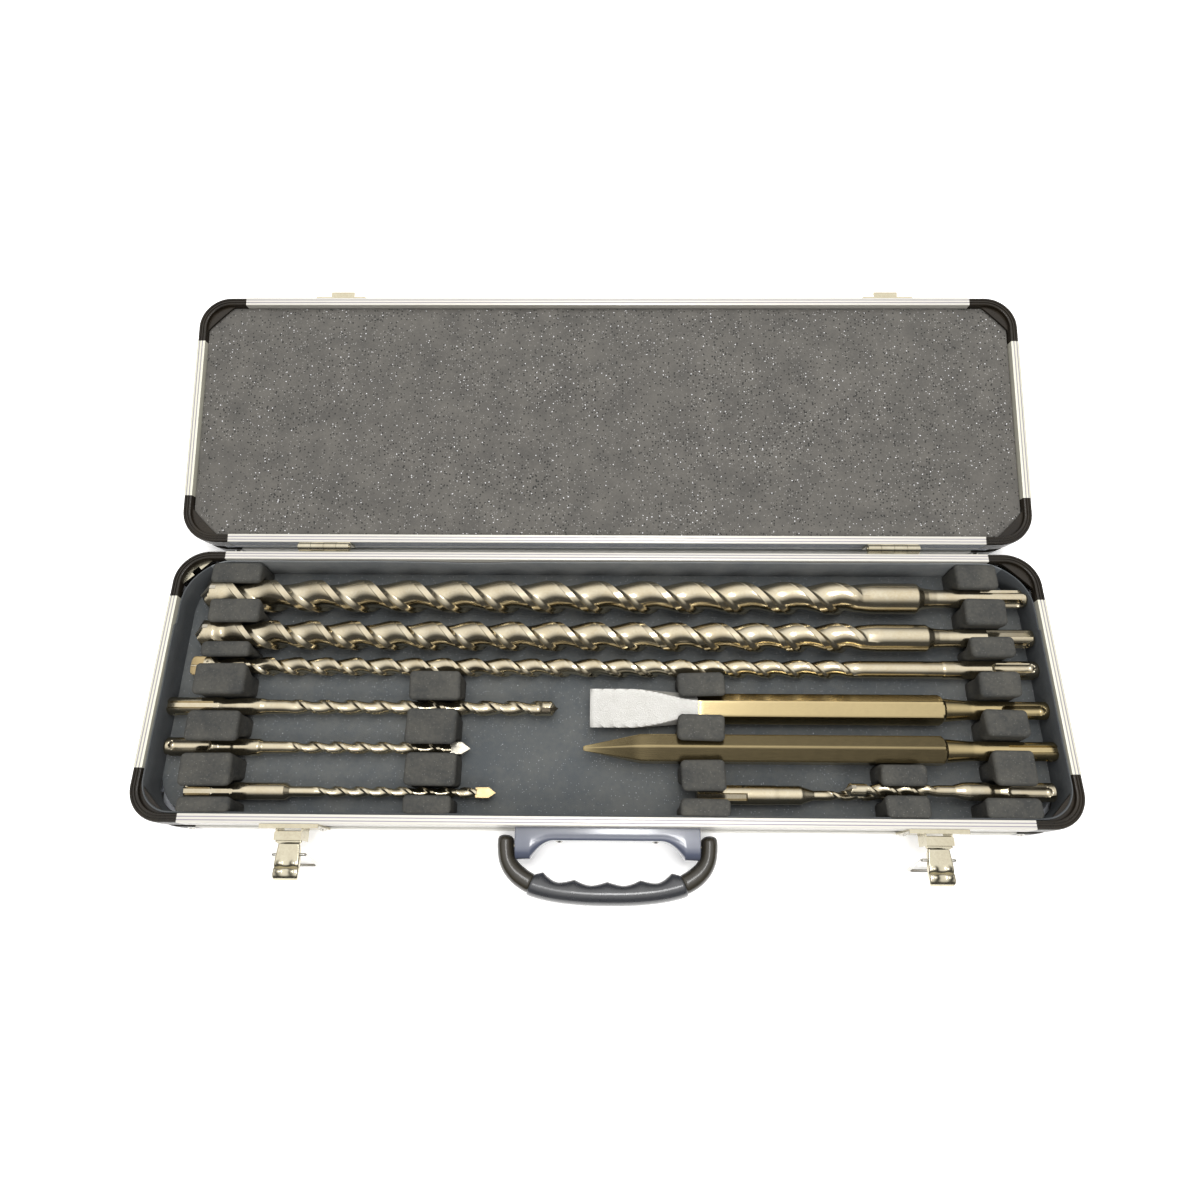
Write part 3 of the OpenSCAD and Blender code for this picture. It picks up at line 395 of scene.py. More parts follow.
def rimProfile():
    """Closed outline of the rim extrusion with its grooves and flange lines, and which sides are theirs."""
    w, f, t, web, g = case["rimWidth"], case["flange"], 1.0, 1.6, rim["deep"]
    points, shaded = [(0.0, -0.35), (0.12, -0.1), (0.4, 0.0)], []
    for x in rim["grooves"]:
        shaded += [len(points), len(points) + 1, len(points) + 2]
        points += [(x, 0.0), (x + 0.05, -g), (x + rim["groove"] - 0.05, -g), (x + rim["groove"], 0.0)]
    points += [(w - 0.35, 0.0), (w - 0.08, -0.08), (w, -0.35)]
    points += [(w, -5.0), (w - 0.75, -5.0), (w - 0.75, -web), (t, -web), (t, -f), (0.25, -f),
            (0.0, -f + 0.25)]
    for z in rim["lines"]:
        shaded += [len(points), len(points) + 1, len(points) + 2]
        points += [(0.0, z - 0.5 * rim["line"]), (0.25, z - 0.4 * rim["line"]), (0.25, z + 0.4 * rim["line"]),
                (0.0, z + 0.5 * rim["line"])]
    return np.array(points), shaded


def shadeLines(piece, columns, shaded):
    """Gives the sides of a swept profile that lie in its grooves a darker finish, painted shade in the
    grooves.
    """
    piece.data.materials.append(materials["groovePaintedShade"])
    for polygon in piece.data.polygons:
        corners = list(polygon.vertices)
        if len(corners) == 4:
            place = sorted({v % columns for v in corners})
            if len(place) == 2 and place[1] - place[0] == 1 and place[0] in shaded:
                polygon.material_index = 1


def shadeFlange(piece, columns, shaded):
    """Gives the outer face of a back rim, seen in the gap between the shells, the boards' stucco grain in a
    dark colour: painted shade of that gap.
    """
    piece.data.materials.append(materials["paintedGapShade"])
    for polygon in piece.data.polygons:
        place = sorted({v % columns for v in polygon.vertices})
        if len(place) == 2 and (place[0] >= shaded[6] or place == [0, columns - 1]):
            polygon.material_index = 2


def cornerProfile():
    """Outline of the moulded rim corner: a rounded top with two ribs that follow the curve."""
    w, f, t, web = case["rimWidth"], case["flange"], 1.0, 1.6
    top = [(0.0, -1.1), (0.12, -0.55), (0.5, -0.12), (1.0, 0.0), (1.45, 0.0), (1.6, -0.42), (1.95, -0.42),
            (2.1, 0.02), (2.75, 0.02), (2.9, -0.42), (3.2, -0.42), (3.35, 0.0), (3.9, -0.04), (4.3, -0.3),
            (w, -0.8)]
    inside = [(w, -5.0), (w - 0.75, -5.0), (w - 0.75, -web), (t, -web), (t, -f), (0.3, -f), (0.0, -f + 0.3)]
    outside = [(0.0, -8.3), (0.3, -8.1), (0.3, -7.8), (0.0, -7.6), (0.0, -4.4), (0.3, -4.2), (0.3, -3.9),
            (0.0, -3.7)]
    return np.array(top + inside + outside)


def cornerWeb(k):
    """The gusset inside rim corner k: a thin plate between the corner's inner arc and a hollow front edge."""
    r, top, thick = case["corner"] - case["rimWidth"] + 0.3, -2.0, 1.2
    sx, sy = (1 if k in (0, 1) else -1), (1 if k in (1, 2) else -1)
    a = np.radians(np.linspace(-10, 100, 24) + 90 * k - 90)
    mid = math.radians(90 * k - 45)
    spread = np.linspace(-1, 1, 24)
    reach = r - 3.4 - 1.5 * (1 - spread ** 2)
    rows = []
    for out, z in ((1, top), (0, top), (0, top - thick), (1, top - thick)):
        radius = r if out else np.maximum(reach, 3) / np.maximum(np.cos(0.8 * (a - mid)), 0.4)
        radius = radius if out else np.minimum(radius, r - 0.4)
        rows.append(np.stack([sx * (halfL - case["corner"]) + radius * np.cos(a),
                              sy * (halfD - case["corner"]) + radius * np.sin(a), np.full(24, z)], -1))
    return np.moveaxis(np.array(rows), 0, 1)


def edgeProfile(height, cornered=False):
    """Outline of the L-shaped profile along the board's edge, with its lines; height is the shell's."""
    leg, t = case["edgeLeg"], 1.0
    bottom = [(0.0, -height + 0.5), (0.15, -height + 0.15), (0.5, -height)]
    if not cornered:
        for x in (2.0, 4.0, 6.0):
            bottom += [(x, -height), (x + 0.06, -height + 0.2), (x + 0.26, -height + 0.2),
                    (x + 0.32, -height)]
    bottom += [(leg, -height), (leg, -height + t)]
    inside = [(t, -height + t), (t, -height + leg), (0.2, -height + leg), (0.0, -height + leg - 0.2)]
    outside = []
    for z in ((5.8, 3.6) if not cornered else (5.0,)):
        outside += [(0.0, -height + z), (0.2, -height + z - 0.06), (0.2, -height + z - 0.3),
                (0.0, -height + z - 0.36)]
    return np.array(bottom + inside + outside)


def buildRims(shell):
    run = lambda side: (halfL if side % 2 == 0 else halfD) - case["cornerLeg"]
    height = case["baseHeight"] if shell == "base" else case["lidHeight"]
    turned = shell == "base"
    # the side rims take the lighter copy of the rim aluminium, painted light
    for word, sides, finish in (("front", (0,), "rimAluminium"), ("back", (2,), "rimAluminium"),
            ("sides", (1, 3), "sideAluminium")):
        profile, shaded = rimProfile()
        parts = [tube(placeShell(sideRun(s, -run(s), run(s), profile), shell), flip=turned) for s in sides]
        piece = meshObject(f"{shell}Rim{word.capitalize()}", *joined(parts), finish, sharp=25)
        shadeLines(piece, len(profile), shaded)
        if word == "back":
            shadeFlange(piece, len(profile), shaded)
        carry(piece, shell, f"{shell}_rim_{word}")
    parts = [tube(placeShell(cornerRun(k, cornerProfile(), case["cornerLeg"]), shell), flip=turned)
            for k in range(4)]
    parts += [tube(placeShell(cornerWeb(k), shell), flip=turned) for k in range(4)
            if shell == "lid" or k != 2]
    piece = meshObject(f"{shell}RimCorners", *joined(parts), "cornerBlack", sharp=30)
    carry(piece, shell, f"{shell}_rim_corners")
    parts = [tube(placeShell(sideRun(s, -run(s), run(s), edgeProfile(height)), shell), flip=turned)
            for s in range(4)]
    piece = meshObject(f"{shell}EdgeProfiles", *joined(parts), "rimAluminium", sharp=25)
    carry(piece, shell, f"{shell}_edge_profiles")
    parts = [tube(placeShell(cornerRun(k, edgeProfile(height, True), case["cornerLeg"]), shell), flip=turned)
            for k in range(4)]
    name = "base_bottom_corners" if shell == "base" else "lid_top_corners"
    piece = meshObject(f"{shell}OuterCorners", *joined(parts), "cornerBlack", sharp=30)
    carry(piece, shell, name)


makeCamera()
makeStudio()
buildRims("base")
buildRims("lid")
print("stage: rims and corners")


def roundedRing(halfX, halfY, radius, count):
    """Points round a rounded rectangle, evenly shared between its arcs and straights, from its right side."""
    radius = np.minimum(radius, np.minimum(halfX, halfY) * 0.999)
    per = count // 4
    t = np.linspace(0, 90, per)
    ring = []
    for i, (sx, sy) in enumerate(((1, 1), (-1, 1), (-1, -1), (1, -1))):
        a = np.radians(t + 90 * i)
        ring.append(np.stack([sx * (halfX - radius) + radius * np.cos(a),
                sy * (halfY - radius) + radius * np.sin(a)], -1))
    return np.concatenate(ring)


def pillow(box, cornerR, edgeR, crown=0.0, sideRows=6, topRows=7, top=None, ripple=0.0, seed=0):
    """A soft block: rings rise up its sides, turn over a rounded edge and close on its crowned top.
    top gives the top's own y from and y to, which the sides reach from the height swell upward."""
    count, swell = 96, 20.0
    x0, x1, y0, y1, z0, z1 = box
    low, high = np.array([y0, y1]), np.array(top if top else (y0, y1))
    a, cx = (x1 - x0) / 2, (x0 + x1) / 2
    least = min(a, (high[1] - high[0]) / 2)
    turn = np.radians(np.linspace(0, 90, 6))
    inset = np.concatenate([np.zeros(sideRows), edgeR * (1 - np.cos(turn)),
            np.linspace(edgeR, least * 0.985, topRows)[1:]])
    height = np.concatenate([np.linspace(z0, z1 - edgeR, sideRows), z1 - edgeR + edgeR * np.sin(turn),
            np.full(topRows - 1, z1)])
    share = np.clip((inset - edgeR) / (least - edgeR), 0, 1)
    height += crown * (1 - (1 - share) ** 2)
    rings = []
    for d, h in zip(inset, height):
        widen = smooth((h - swell) / max(z1 - edgeR - swell, 1))
        from_, to = low + (high - low) * widen
        middle = [cx, (from_ + to) / 2]
        ring = roundedRing(a - d, (to - from_) / 2 - d, max(cornerR - d, 0.05), count) + middle
        rings.append(np.concatenate([ring, np.full((count, 1), h)], 1))
    rings = np.stack(rings)
    if ripple:
        wave = np.random.default_rng(seed).uniform(0, 6.28, 8)
        x, y, z = rings[..., 0].copy(), rings[..., 1].copy(), rings[..., 2]
        slow = np.sin(x / 17 + wave[0]) * np.sin(y / 13 + wave[1])
        z += ripple * (slow + 0.5 * np.sin(x / 7 + y / 9 + wave[2])) * share[:, None]
        uneven = (1 - share[:, None]) * smooth((z - z0) / 4) * ripple
        rings[..., 1] += uneven * (np.sin(x / 4.1 + wave[3]) + 0.6 * np.sin(x / 1.9 + z / 3 + wave[4]))
        rings[..., 0] += uneven * (np.sin(y / 3.3 + wave[5]) + 0.6 * np.sin(z / 2.3 + wave[6]))
    return tube(rings, flip=False)


foam = {"floor": 3.0, "floorTop": 11.0, "blockTop": 29.5}
# the blocks of each column: x from, x to, y from and to at the floor, y from and to at the block's top
blockColumns = {
    "left": [(-214.9, -187.6, 59.0, 67.6, 54.6, 66.4), (-213.0, -185.3, 35.7, 40.4, 32.2, 45.5),
             (-212.9, -187.0, 16.0, 19.1, 12.8, 21.1), (-213.8, -186.8, -6.3, 5.4, -7.7, 9.0),
             (-213.8, -186.4, -27.7, -16.9, -31.6, -16.0), (-212.7, -186.4, -50.1, -38.3, -54.5, -38.0),
             (-211.0, -184.2, -67.6, -60.7, -67.6, -59.6)],
    "mid_left": [(-101.0, -74.3, -7.3, 5.4, -10.2, 5.3), (-100.8, -74.8, -29.4, -15.9, -32.8, -14.6),
                 (-99.8, -73.8, -52.3, -36.6, -53.6, -37.1), (-98.8, -74.8, -67.6, -58.5, -67.6, -58.2)],
    "mid_right": [(38.1, 62.5, -1.2, 5.4, -7.2, 5.3), (37.5, 61.4, -25.7, -22.0, -30.3, -16.8),
                  (38.3, 60.6, -50.1, -40.3, -55.0, -39.6), (37.3, 62.0, -67.6, -60.7, -67.6, -58.6)],
    "right": [(190.0, 212.1, 55.0, 67.6, 52.6, 66.9), (191.8, 213.9, 32.7, 44.4, 32.2, 47.2),
              (191.7, 214.9, 16.0, 22.1, 14.6, 25.8), (193.3, 214.8, -6.3, 5.4, -6.7, 6.8),
              (193.1, 215.0, -27.7, -16.9, -27.2, -13.2), (193.7, 214.4, -48.1, -38.3, -51.4, -34.0),
              (186.4, 213.9, -67.6, -58.7, -67.6, -57.4)],
    "front": [(137.3, 160.2, -49.8, -40.3, -51.8, -41.3), (137.9, 159.6, -67.6, -58.3, -67.6, -56.4)]}


def buildFoam():
    floor = meshObject("trayFloorFoam",
            *pillow((-230.2, 230.2, -67.7, 67.7, foam["floor"], foam["floorTop"]), 24, 0.6, topRows=60,
            ripple=0.10), "trayFoam")
    carry(floor, "base", "floor_foam_pad")
    for n, (group, blocks) in enumerate(blockColumns.items(), 4):
        parts = [pillow((x0, x1, y0, y1, foam["floorTop"], foam["blockTop"]), 2.6, 2.1, crown=0.4,
                sideRows=14, top=(topFrom, topTo), ripple=0.22, seed=10 * n + i)
                for i, (x0, x1, y0, y1, topFrom, topTo) in enumerate(blocks)]
        piece = meshObject(f"foamBlocks{group.title().replace('_', '')}", *joined(parts), "blockFoam",
                sharp=60)
        carry(piece, "base", f"foam_blocks_{group}")
    top = case["baseHeight"] + case["gap"]
    pad = pillow((-230.4, 230.4, -67.9, 67.9, -(top + case["lidHeight"] - 3), -(top + 3.6)), 13.4, 0.7,
            topRows=60, ripple=0.16, seed=5)
    points, faces = pad
    flipped = np.asarray(points) * [1, 1, -1]
    lidPad = meshObject("lidFoamPad", lidTurn(flipped), [f[::-1] for f in faces], "lidFoam")
    carry(lidPad, "lid", "lid_foam_pad")


def buildLiner():
    """The wall liner: a thin strip round the tray. Its top edge wavers and droops at the back. Its back wall
    is a lighter foam colour, painted light, and its sides and front a darker one, painted shade.
    """
    count = 720
    backR, frontR, thick = 26.0, 17.0, 1.0
    t = np.linspace(0, 1, count, endpoint=False)
    halfX, halfY = 230.35, 67.85
    corners = [(halfX, halfY, backR), (-halfX, halfY, backR), (-halfX, -halfY, frontR),
            (halfX, -halfY, frontR)]
    path = []
    for i, (cx, cy, r) in enumerate(corners):
        a = np.radians(np.linspace(0, 90, 24) + 90 * i)
        path.append(np.stack([cx - math.copysign(r, cx) + r * np.cos(a),
                cy - math.copysign(r, cy) + r * np.sin(a)], -1))
    path = np.concatenate(path)
    closed = np.vstack([path, path[:1]])
    length = np.concatenate([[0], np.cumsum(np.linalg.norm(np.diff(closed, axis=0), axis=1))])
    s = t * length[-1]
    x, y = np.interp(s, length, closed[:, 0]), np.interp(s, length, closed[:, 1])
    ahead = np.stack([np.roll(x, -1) - np.roll(x, 1), np.roll(y, -1) - np.roll(y, 1)], -1)
    ahead /= np.linalg.norm(ahead, axis=1)[:, None]
    inward = np.stack([-ahead[:, 1], ahead[:, 0]], -1)
    top = 28.4 + 0.25 * np.sin(s / 23) + 0.15 * np.sin(s / 7.3)
    top -= 2.2 * np.exp(-((x + 75) / 26) ** 2) * (y > 60)
    top -= 1.6 * smooth((np.abs(x) - 205) / 18) * (y > 30)
    levels = np.stack([np.full(count, 11.0), np.full(count, 20.0), top - 0.5, top, top, top - 0.5,
            np.full(count, 20.0), np.full(count, 11.0)])
    depth = np.array([0, 0, 0, 0.25, thick - 0.25, thick, thick, thick])
    rows = np.stack([np.stack([x + inward[:, 0] * d, y + inward[:, 1] * d, level], -1)
            for d, level in zip(depth, levels)], 1)
    piece = meshObject("trayWallLiner", *tube(rows, loopRows=True, flip=False), "linerFoam")
    piece.data.materials.append(materials["linerPaintedShadeFoam"])
    for polygon in piece.data.polygons:
        # the back wall keeps the painted light; the side walls beyond 216 mm and the front wall get the
        # painted shade
        polygon.material_index = int(abs(polygon.center[0]) > 0.216 or polygon.center[1] < 0)
    carry(piece, "base", "wall_liner")


buildFoam()
buildLiner()
print("stage: foam")


land = 0.166  # share of half a turn that the bit's land takes up


def flutePhase():
    """Columns of one half turn: few on the land, even over the flute, close together up its steep wall."""
    return np.concatenate([np.linspace(0, 0.165, 4), [0.176, 0.19], np.linspace(0.22, 0.82, 20),
                           [0.85, 0.88, 0.905, 0.93, 0.95, 0.97, 0.985, 0.995]])


def fluteShape(phase, depth):
    """Share of the full radius over a half turn: land, step, slow fall to the bottom, steep wall, step."""
    p = phase % 1.0
    fall = 0.05 + 0.95 * np.sin(np.pi / 2 * np.clip((p - land) / 0.60, 0, 1)) ** 1.35
    wall = 0.78 * np.clip((p - 0.85) / 0.15, 0, 1) ** 1.5
    return 1 - depth * np.where(p <= land, 0, fall - wall)


shank = {"r": 5.0, "cut": 27.0, "slot": 25.0, "slotFloor": 1.5, "slotHalf": 1.3, "ball": 2.9, "ballOut": 1.1}


def shankRadius(radius, angle, s, end, roll):
    """Cuts two open slots and two closed ball grooves into a round shank, by rays from its axis."""
    floor, axis = shank["r"] - shank["slotFloor"], shank["r"] + shank["ballOut"]
    cut = radius.copy()
    a = angle - roll
    for centre in (0, math.pi):
        d = np.angle(np.exp(1j * (a - centre)))
        near = np.clip(d, -1.2, 1.2)
        across = np.abs(floor * np.tan(near))
        inSlot = (np.abs(d) < 1.2) & (across < shank["slotHalf"]) & (s > end - shank["slot"])
        cut = np.where(inSlot, np.minimum(cut, floor / np.cos(near)), cut)
    for centre in (math.pi / 2, -math.pi / 2):
        d = np.angle(np.exp(1j * (a - centre)))
        beyond = np.maximum(0, np.maximum(end - 22.5 - s, s - (end - 5.5)))
        ball = np.maximum(shank["ball"] ** 2 - beyond ** 2, 0)
        under = ball - (axis * np.sin(d)) ** 2
        hit = (np.abs(d) < 1.2) & (under > 0)
        cut = np.where(hit, np.minimum(cut, axis * np.cos(d) - np.sqrt(np.maximum(under, 0))), cut)
    return cut


def placeTool(local, at, direction, tilt=0.0, roll=0.0):
    """Points of a tool (s, across, up) rolled about its axis, pointing along +x or -x, and tilted about y."""
    s, c, n = local[..., 0], math.cos(math.radians(roll)), math.sin(math.radians(roll))
    across, up = local[..., 1] * c - local[..., 2] * n, local[..., 1] * n + local[..., 2] * c
    t = math.radians(tilt)
    x, z = s * math.cos(t) + up * math.sin(t), -s * math.sin(t) + up * math.cos(t)
    return np.stack([at[0] + direction * x, at[1] + direction * across, at[2] + z], -1)


# Each bit: at is its tip and way its direction along x, flutes where they end, start their first angle,
# roll the shank's, head where the flutes begin. plate is the carbide plate's angle; reach, back and thick are
# its shape and bare how far it stands before the steel, as shares of d. body is (from the tip, diameter).
drills = {
    "drill_18": dict(at=(-221.5, 49.7, 20.6), way=1, d=18, length=450, flutes=360, lead=51.6, roll=0.9,
        start=1.90, tip="cone", head=13, plate=1.38, reach=0.42, back=0.58, bare=0, thick=0.14,
        body=[(360, 16.9), (390.3, 16.9), (390.9, 16.2), (393.7, 12.6), (396.7, 11.0), (401, 10.1),
        (412, 10.0)]),
    "drill_16": dict(at=(-221.3, 27.4, 19.6), way=1, d=16, length=450, flutes=361, lead=43.6, roll=1.25,
        start=0.4, tip="round", head=11, plate=1.29, reach=0.40, back=0.55, bare=0, thick=0.16,
        body=[(361, 15.0), (393.0, 15.0), (393.6, 14.4), (396.4, 11.6), (399.4, 10.5), (404.5, 10.0),
        (412, 10.0)]),
    "drill_10": dict(at=(-222.4, 10.7, 16.6), way=1, d=10, length=452, flutes=354.4, lead=31.6, roll=0.0,
        start=1.2, tip="plate", head=9, plate=0.0, reach=0.1, back=1.05, bare=0.85, thick=0.22,
        body=[(354.4, 9.4), (401.4, 9.4), (402.2, 10.0), (412, 10.0), (416.4, 10.0)]),
    "drill_8": dict(at=(-24.8, -11.6, 16.6), way=-1, d=8, length=205, flutes=140, lead=28.5, roll=1.5,
        start=0.6, tip="dark", head=6.5, plate=1.2, reach=0.42, back=0.95, bare=0, thick=0.3,
        body=[(140, 7.6), (153, 7.8), (155.4, 9.0), (167, 9.2), (175, 7.6), (177, 10.0), (179, 10.0)]),
    "drill_6_5": dict(at=(-69.5, -33, 16.6), way=-1, d=6.5, length=157.5, flutes=92, lead=24, roll=0.0,
        start=0.2, tip="cone", head=6, plate=0.0, reach=0.6, back=1.5, bare=1.4, thick=0.5,
        body=[(92, 6.2), (107, 6.6), (109, 8.8), (121, 8.8), (123, 7.2), (129, 7.2), (131.5, 10.0)]),
    "drill_5_5": dict(at=(-55.2, -55.4, 16.6), way=-1, d=5.5, length=157.4, flutes=90, lead=22, roll=1.4,
        start=1.7, tip="gold", head=5.5, plate=0.0, reach=0.55, back=1.75, bare=1.6, thick=0.55,
        body=[(90, 5.3), (104, 5.3), (106.5, 8.8), (132.8, 8.8), (134, 7.4), (143, 7.4), (144.5, 10.0)]),
    "drill_5_short": dict(at=(149.8, -55.4, 16.6), way=-1, d=5, length=103, flutes=36, lead=20, roll=1.2,
        start=0.5, tip="cone", head=3, plate=0.8, reach=0.4, back=0.7, bare=0, thick=0.3,
        body=[(36, 4.9), (44, 4.9), (49, 8.4), (50.5, 9.6), (62, 9.6), (64, 9.9), (74, 10.0)]),
    "drill_6_short": dict(at=(120.4, -53.4, 23.4), way=1, d=6.5, length=104.5, flutes=44, lead=21, roll=0.1,
        start=0.9, tip="cone", head=9, plate=1.2, reach=0.4, back=0.7, bare=0, thick=0.3, tilt=2.0,
        body=[(44, 5.8), (54, 5.9), (58.5, 8.6), (61, 9.2), (71, 9.2), (73, 7.4), (76, 7.2), (80, 9.9),
        (82, 10.0)]),
}


def drillSurface(spec):
    """The steel of one bit: the grid's columns follow the helix, and each point has its own radius."""
    d, length, end = spec["d"], spec["length"], spec["flutes"]
    depth = 0.32 if d > 7 else 0.40
    phase = np.concatenate([flutePhase(), flutePhase() + 1]) / 2
    bodyS = np.array([p[0] for p in spec["body"]] + [length - 1.2, length - 0.35, length])
    bodyR = np.array([p[1] for p in spec["body"]] + [10.0, 9.1, 8.2]) / 2
    s = np.unique(np.round(np.concatenate([
        [0, 0.15], np.linspace(0.4, 0.5 * d, 12), np.linspace(0.5 * d, 12, 24),
        [spec["bare"] * d - 0.02, spec["bare"] * d + 0.02] if spec["bare"] else [0.2],
        np.arange(12, end, spec["lead"] / 60), bodyS,
        np.arange(end, length, 0.9), np.arange(length - shank["cut"], length, 0.45)]), 3))
    turns = 2 * math.pi * np.minimum(s, end) / spec["lead"]
    angle = 2 * math.pi * phase[None, :] + turns[:, None] + spec["start"]
    solid = np.interp(s, [0, 0.24 * d, end], [0.46 * d, 0.5 * d, 0.5 * d])
    towardShank = np.interp(s, np.concatenate([[end - 3], bodyS]), np.concatenate([[0.5 * d], bodyR]))
    solid = np.where(s > end - 3, towardShank, solid)
    fade = smooth((s - spec["head"]) / (0.4 * d)) * (1 - smooth((s - end + 0.7 * d) / (1.2 * d)))
    radius = solid[:, None] * (1 - fade[:, None] + fade[:, None] * fluteShape(2 * phase, depth)[None, :])
    facet = np.maximum(np.abs(np.cos(angle - spec["plate"])), 0.85 * np.abs(np.sin(angle - spec["plate"])))
    radius = np.minimum(radius, 0.5 * (s[:, None] + 0.05 * d) / ((spec["reach"] + 0.05) * facet))
    radius = np.where((s < spec["bare"] * d)[:, None], np.minimum(radius, 0.07 * d), radius)
    wide = shankRadius(radius, angle, s[:, None], length, spec["roll"])
    radius = np.where(s[:, None] > length - shank["cut"], wide, radius)
    grid = np.stack([s[:, None] + 0 * angle, radius * np.cos(angle), radius * np.sin(angle)], -1)
    return placeTool(grid, spec["at"], spec["way"], spec.get("tilt", 0.0))


def carbidePlate(spec):
    """The hard plate in the tip's slot: a bevelled outline with a point, given its thickness."""
    d = spec["d"]
    reach, back, thick = spec["reach"], spec["back"], spec["thick"] * d / 2
    half = [(-0.075, 0.0), (reach - 0.05, 0.485), (reach - 0.01, 0.515), (back, 0.505)]
    if spec["tip"] == "plate":
        half = [(-0.04, 0.0), (-0.02, 0.30), (0.03, 0.44), (0.14, 0.51), (back, 0.505)]
    outline = np.array(half + [(x, -y) for x, y in half[:0:-1]]) * d
    back *= d
    rows = []
    for side, shrink in ((-1, 0.9), (-0.8, 1.0), (0.8, 1.0), (1, 0.9)):
        ring = (outline - [back / 2, 0]) * [1, shrink] + [back / 2, 0]
        rows.append(np.stack([ring[:, 0], ring[:, 1], np.full(len(ring), side * thick)], -1))
    local = np.array(rows)
    local[..., 2] *= np.interp(local[..., 0], [0, reach * d], [0.3, 1.0])
    a = spec["plate"]
    y = local[..., 1] * math.cos(a) - local[..., 2] * math.sin(a)
    z = local[..., 1] * math.sin(a) + local[..., 2] * math.cos(a)
    return placeTool(np.stack([local[..., 0], y, z], -1), spec["at"], spec["way"], spec.get("tilt", 0.0))


plateFinish = {"plate": "carbideGold", "gold": "carbideGold", "dark": "carbideDark",
               "cone": "carbidePale", "round": "carbidePale"}


def buildDrills():
    for name, spec in drills.items():
        label = name.replace("_", "")
        steel = meshObject(label + "Steel", *tube(drillSurface(spec), flip=True), "bronzeSteel", sharp=32)
        plate = meshObject(label + "Plate", *tube(carbidePlate(spec), flip=False), plateFinish[spec["tip"]],
                sharp=20)
        for piece in (steel, plate):
            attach(piece, name)
        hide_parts(name)


def chiselEnd(s, hexEnd, length, hexR):
    """Radius limit behind the hexagon, along the tool: a turned cone, a neck and the shank."""
    marks = [hexEnd - 1.2, hexEnd + 0.9, hexEnd + 1.6, hexEnd + 4.5, hexEnd + 9, hexEnd + 15, length - 1.2,
            length - 0.35, length]
    sizes = [hexR + 0.6, 6.9, 6.2, 5.9, 5.5, 5.0, 5.0, 4.5, 4.1]
    return np.interp(s, marks, sizes)


hexFlat, hexCorner = 7.0, 8.08  # from the axis to a flat, and to a corner before it is rounded


def hexRadius(angle, turn):
    """Distance from the axis to a hexagon's side, its corners slightly rounded."""
    a = (angle - turn) % (math.pi / 3) - math.pi / 6
    return np.minimum(hexFlat / np.cos(a), hexFlat / math.cos(math.pi / 6) - 0.12)


def chiselSteps(tip, coarse, hexEnd, length):
    """Distances along a chisel: its tip's, coarse ones along the hexagon, fine ones over its turned end."""
    return np.unique(np.round(np.concatenate([
        tip, [hexEnd - 1.2], np.arange(coarse, hexEnd, 8), np.arange(hexEnd - 1, hexEnd + 18, 0.7),
        np.arange(hexEnd + 18, length, 0.8), np.arange(length - shank["cut"], length, 0.45), [length]]), 3))


def chiselBack(radius, angle, s, hexEnd, length, roll):
    """The radius limited by the turned end behind the hexagon, and cut by the shank's slots and grooves."""
    turned = np.minimum(radius, chiselEnd(s, hexEnd, length, hexCorner)[:, None])
    radius = np.where(s[:, None] > hexEnd - 2, turned, radius)
    cut = shankRadius(radius, angle + 0 * radius, s[:, None], length, roll)
    return np.where(s[:, None] > length - shank["cut"], cut, radius)


def hexAngles():
    """Directions round a chisel, the hexagon's corners among them."""
    return np.radians(np.unique(np.concatenate([np.linspace(0, 360, 96, endpoint=False),
            30 + 60 * np.arange(6)])))


def flatChiselSurface():
    """Blade to hexagon: half width and half thickness change along it, from a box to a hexagon."""
    length, hexEnd = 237.1, 181.6
    s = chiselSteps(np.linspace(0, 62, 60), 62, hexEnd, length)
    angle = np.unique(np.round(np.append(hexAngles(), math.atan2(2.8, 10)), 5))[None, :]
    width = 10 - 3 * smooth((s - 20) / 33)
    thick = np.interp(s, [0, 0.3, 22, 30, 57], [0.35, 0.6, 2.8, 3.7, 7.0])
    toHex = smooth((s - 16) / 38)
    c, n = np.abs(np.cos(angle)), np.abs(np.sin(angle))
    slopeR = np.minimum(99, (width[:, None] + 1.08) / np.maximum(c + n * math.tan(math.radians(30)), 1e-4))
    sideR = (1 - toHex[:, None]) * (width[:, None] / np.maximum(c, 1e-4)) + toHex[:, None] * slopeR
    radius = np.minimum(sideR, thick[:, None] / np.maximum(n, 1e-4))
    radius = np.where(s[:, None] > 57, hexRadius(angle, 0.0), np.minimum(radius, 99))
    radius = chiselBack(radius, angle, s, hexEnd, length, 0.0)
    return placeTool(np.stack([s[:, None] + 0 * radius, radius * np.cos(angle), radius * np.sin(angle)], -1),
            (-7.3, -11.6, 18.6), 1, roll=12)


def pointChiselSurface():
    """A hexagon with an edge up that narrows to a blunt point, faster in height than in width."""
    length, hexEnd = 240.5, 182.4
    s = chiselSteps(np.concatenate([[0, 0.2, 0.7, 1.4], np.linspace(2, 50, 50)]), 50, hexEnd, length)
    angle = hexAngles()[None, :]
    wide = np.interp(s, [0, 0.2, 0.7, 1.4, 29.5, 32], [0.10, 0.14, 0.18, 0.21, 0.985, 1.0])[:, None]
    high = np.interp(s, [0, 0.2, 0.7, 1.4, 26, 38], [0.05, 0.08, 0.10, 0.12, 0.90, 1.0])[:, None]
    radius = hexRadius(angle, math.pi / 6) + 0 * s[:, None]
    radius = chiselBack(radius, angle, s, hexEnd, length, 1.5)
    return placeTool(np.stack([s[:, None] + 0 * radius, wide * radius * np.cos(angle),
            high * radius * np.sin(angle)], -1), (-10.7, -33, 19.7), 1)


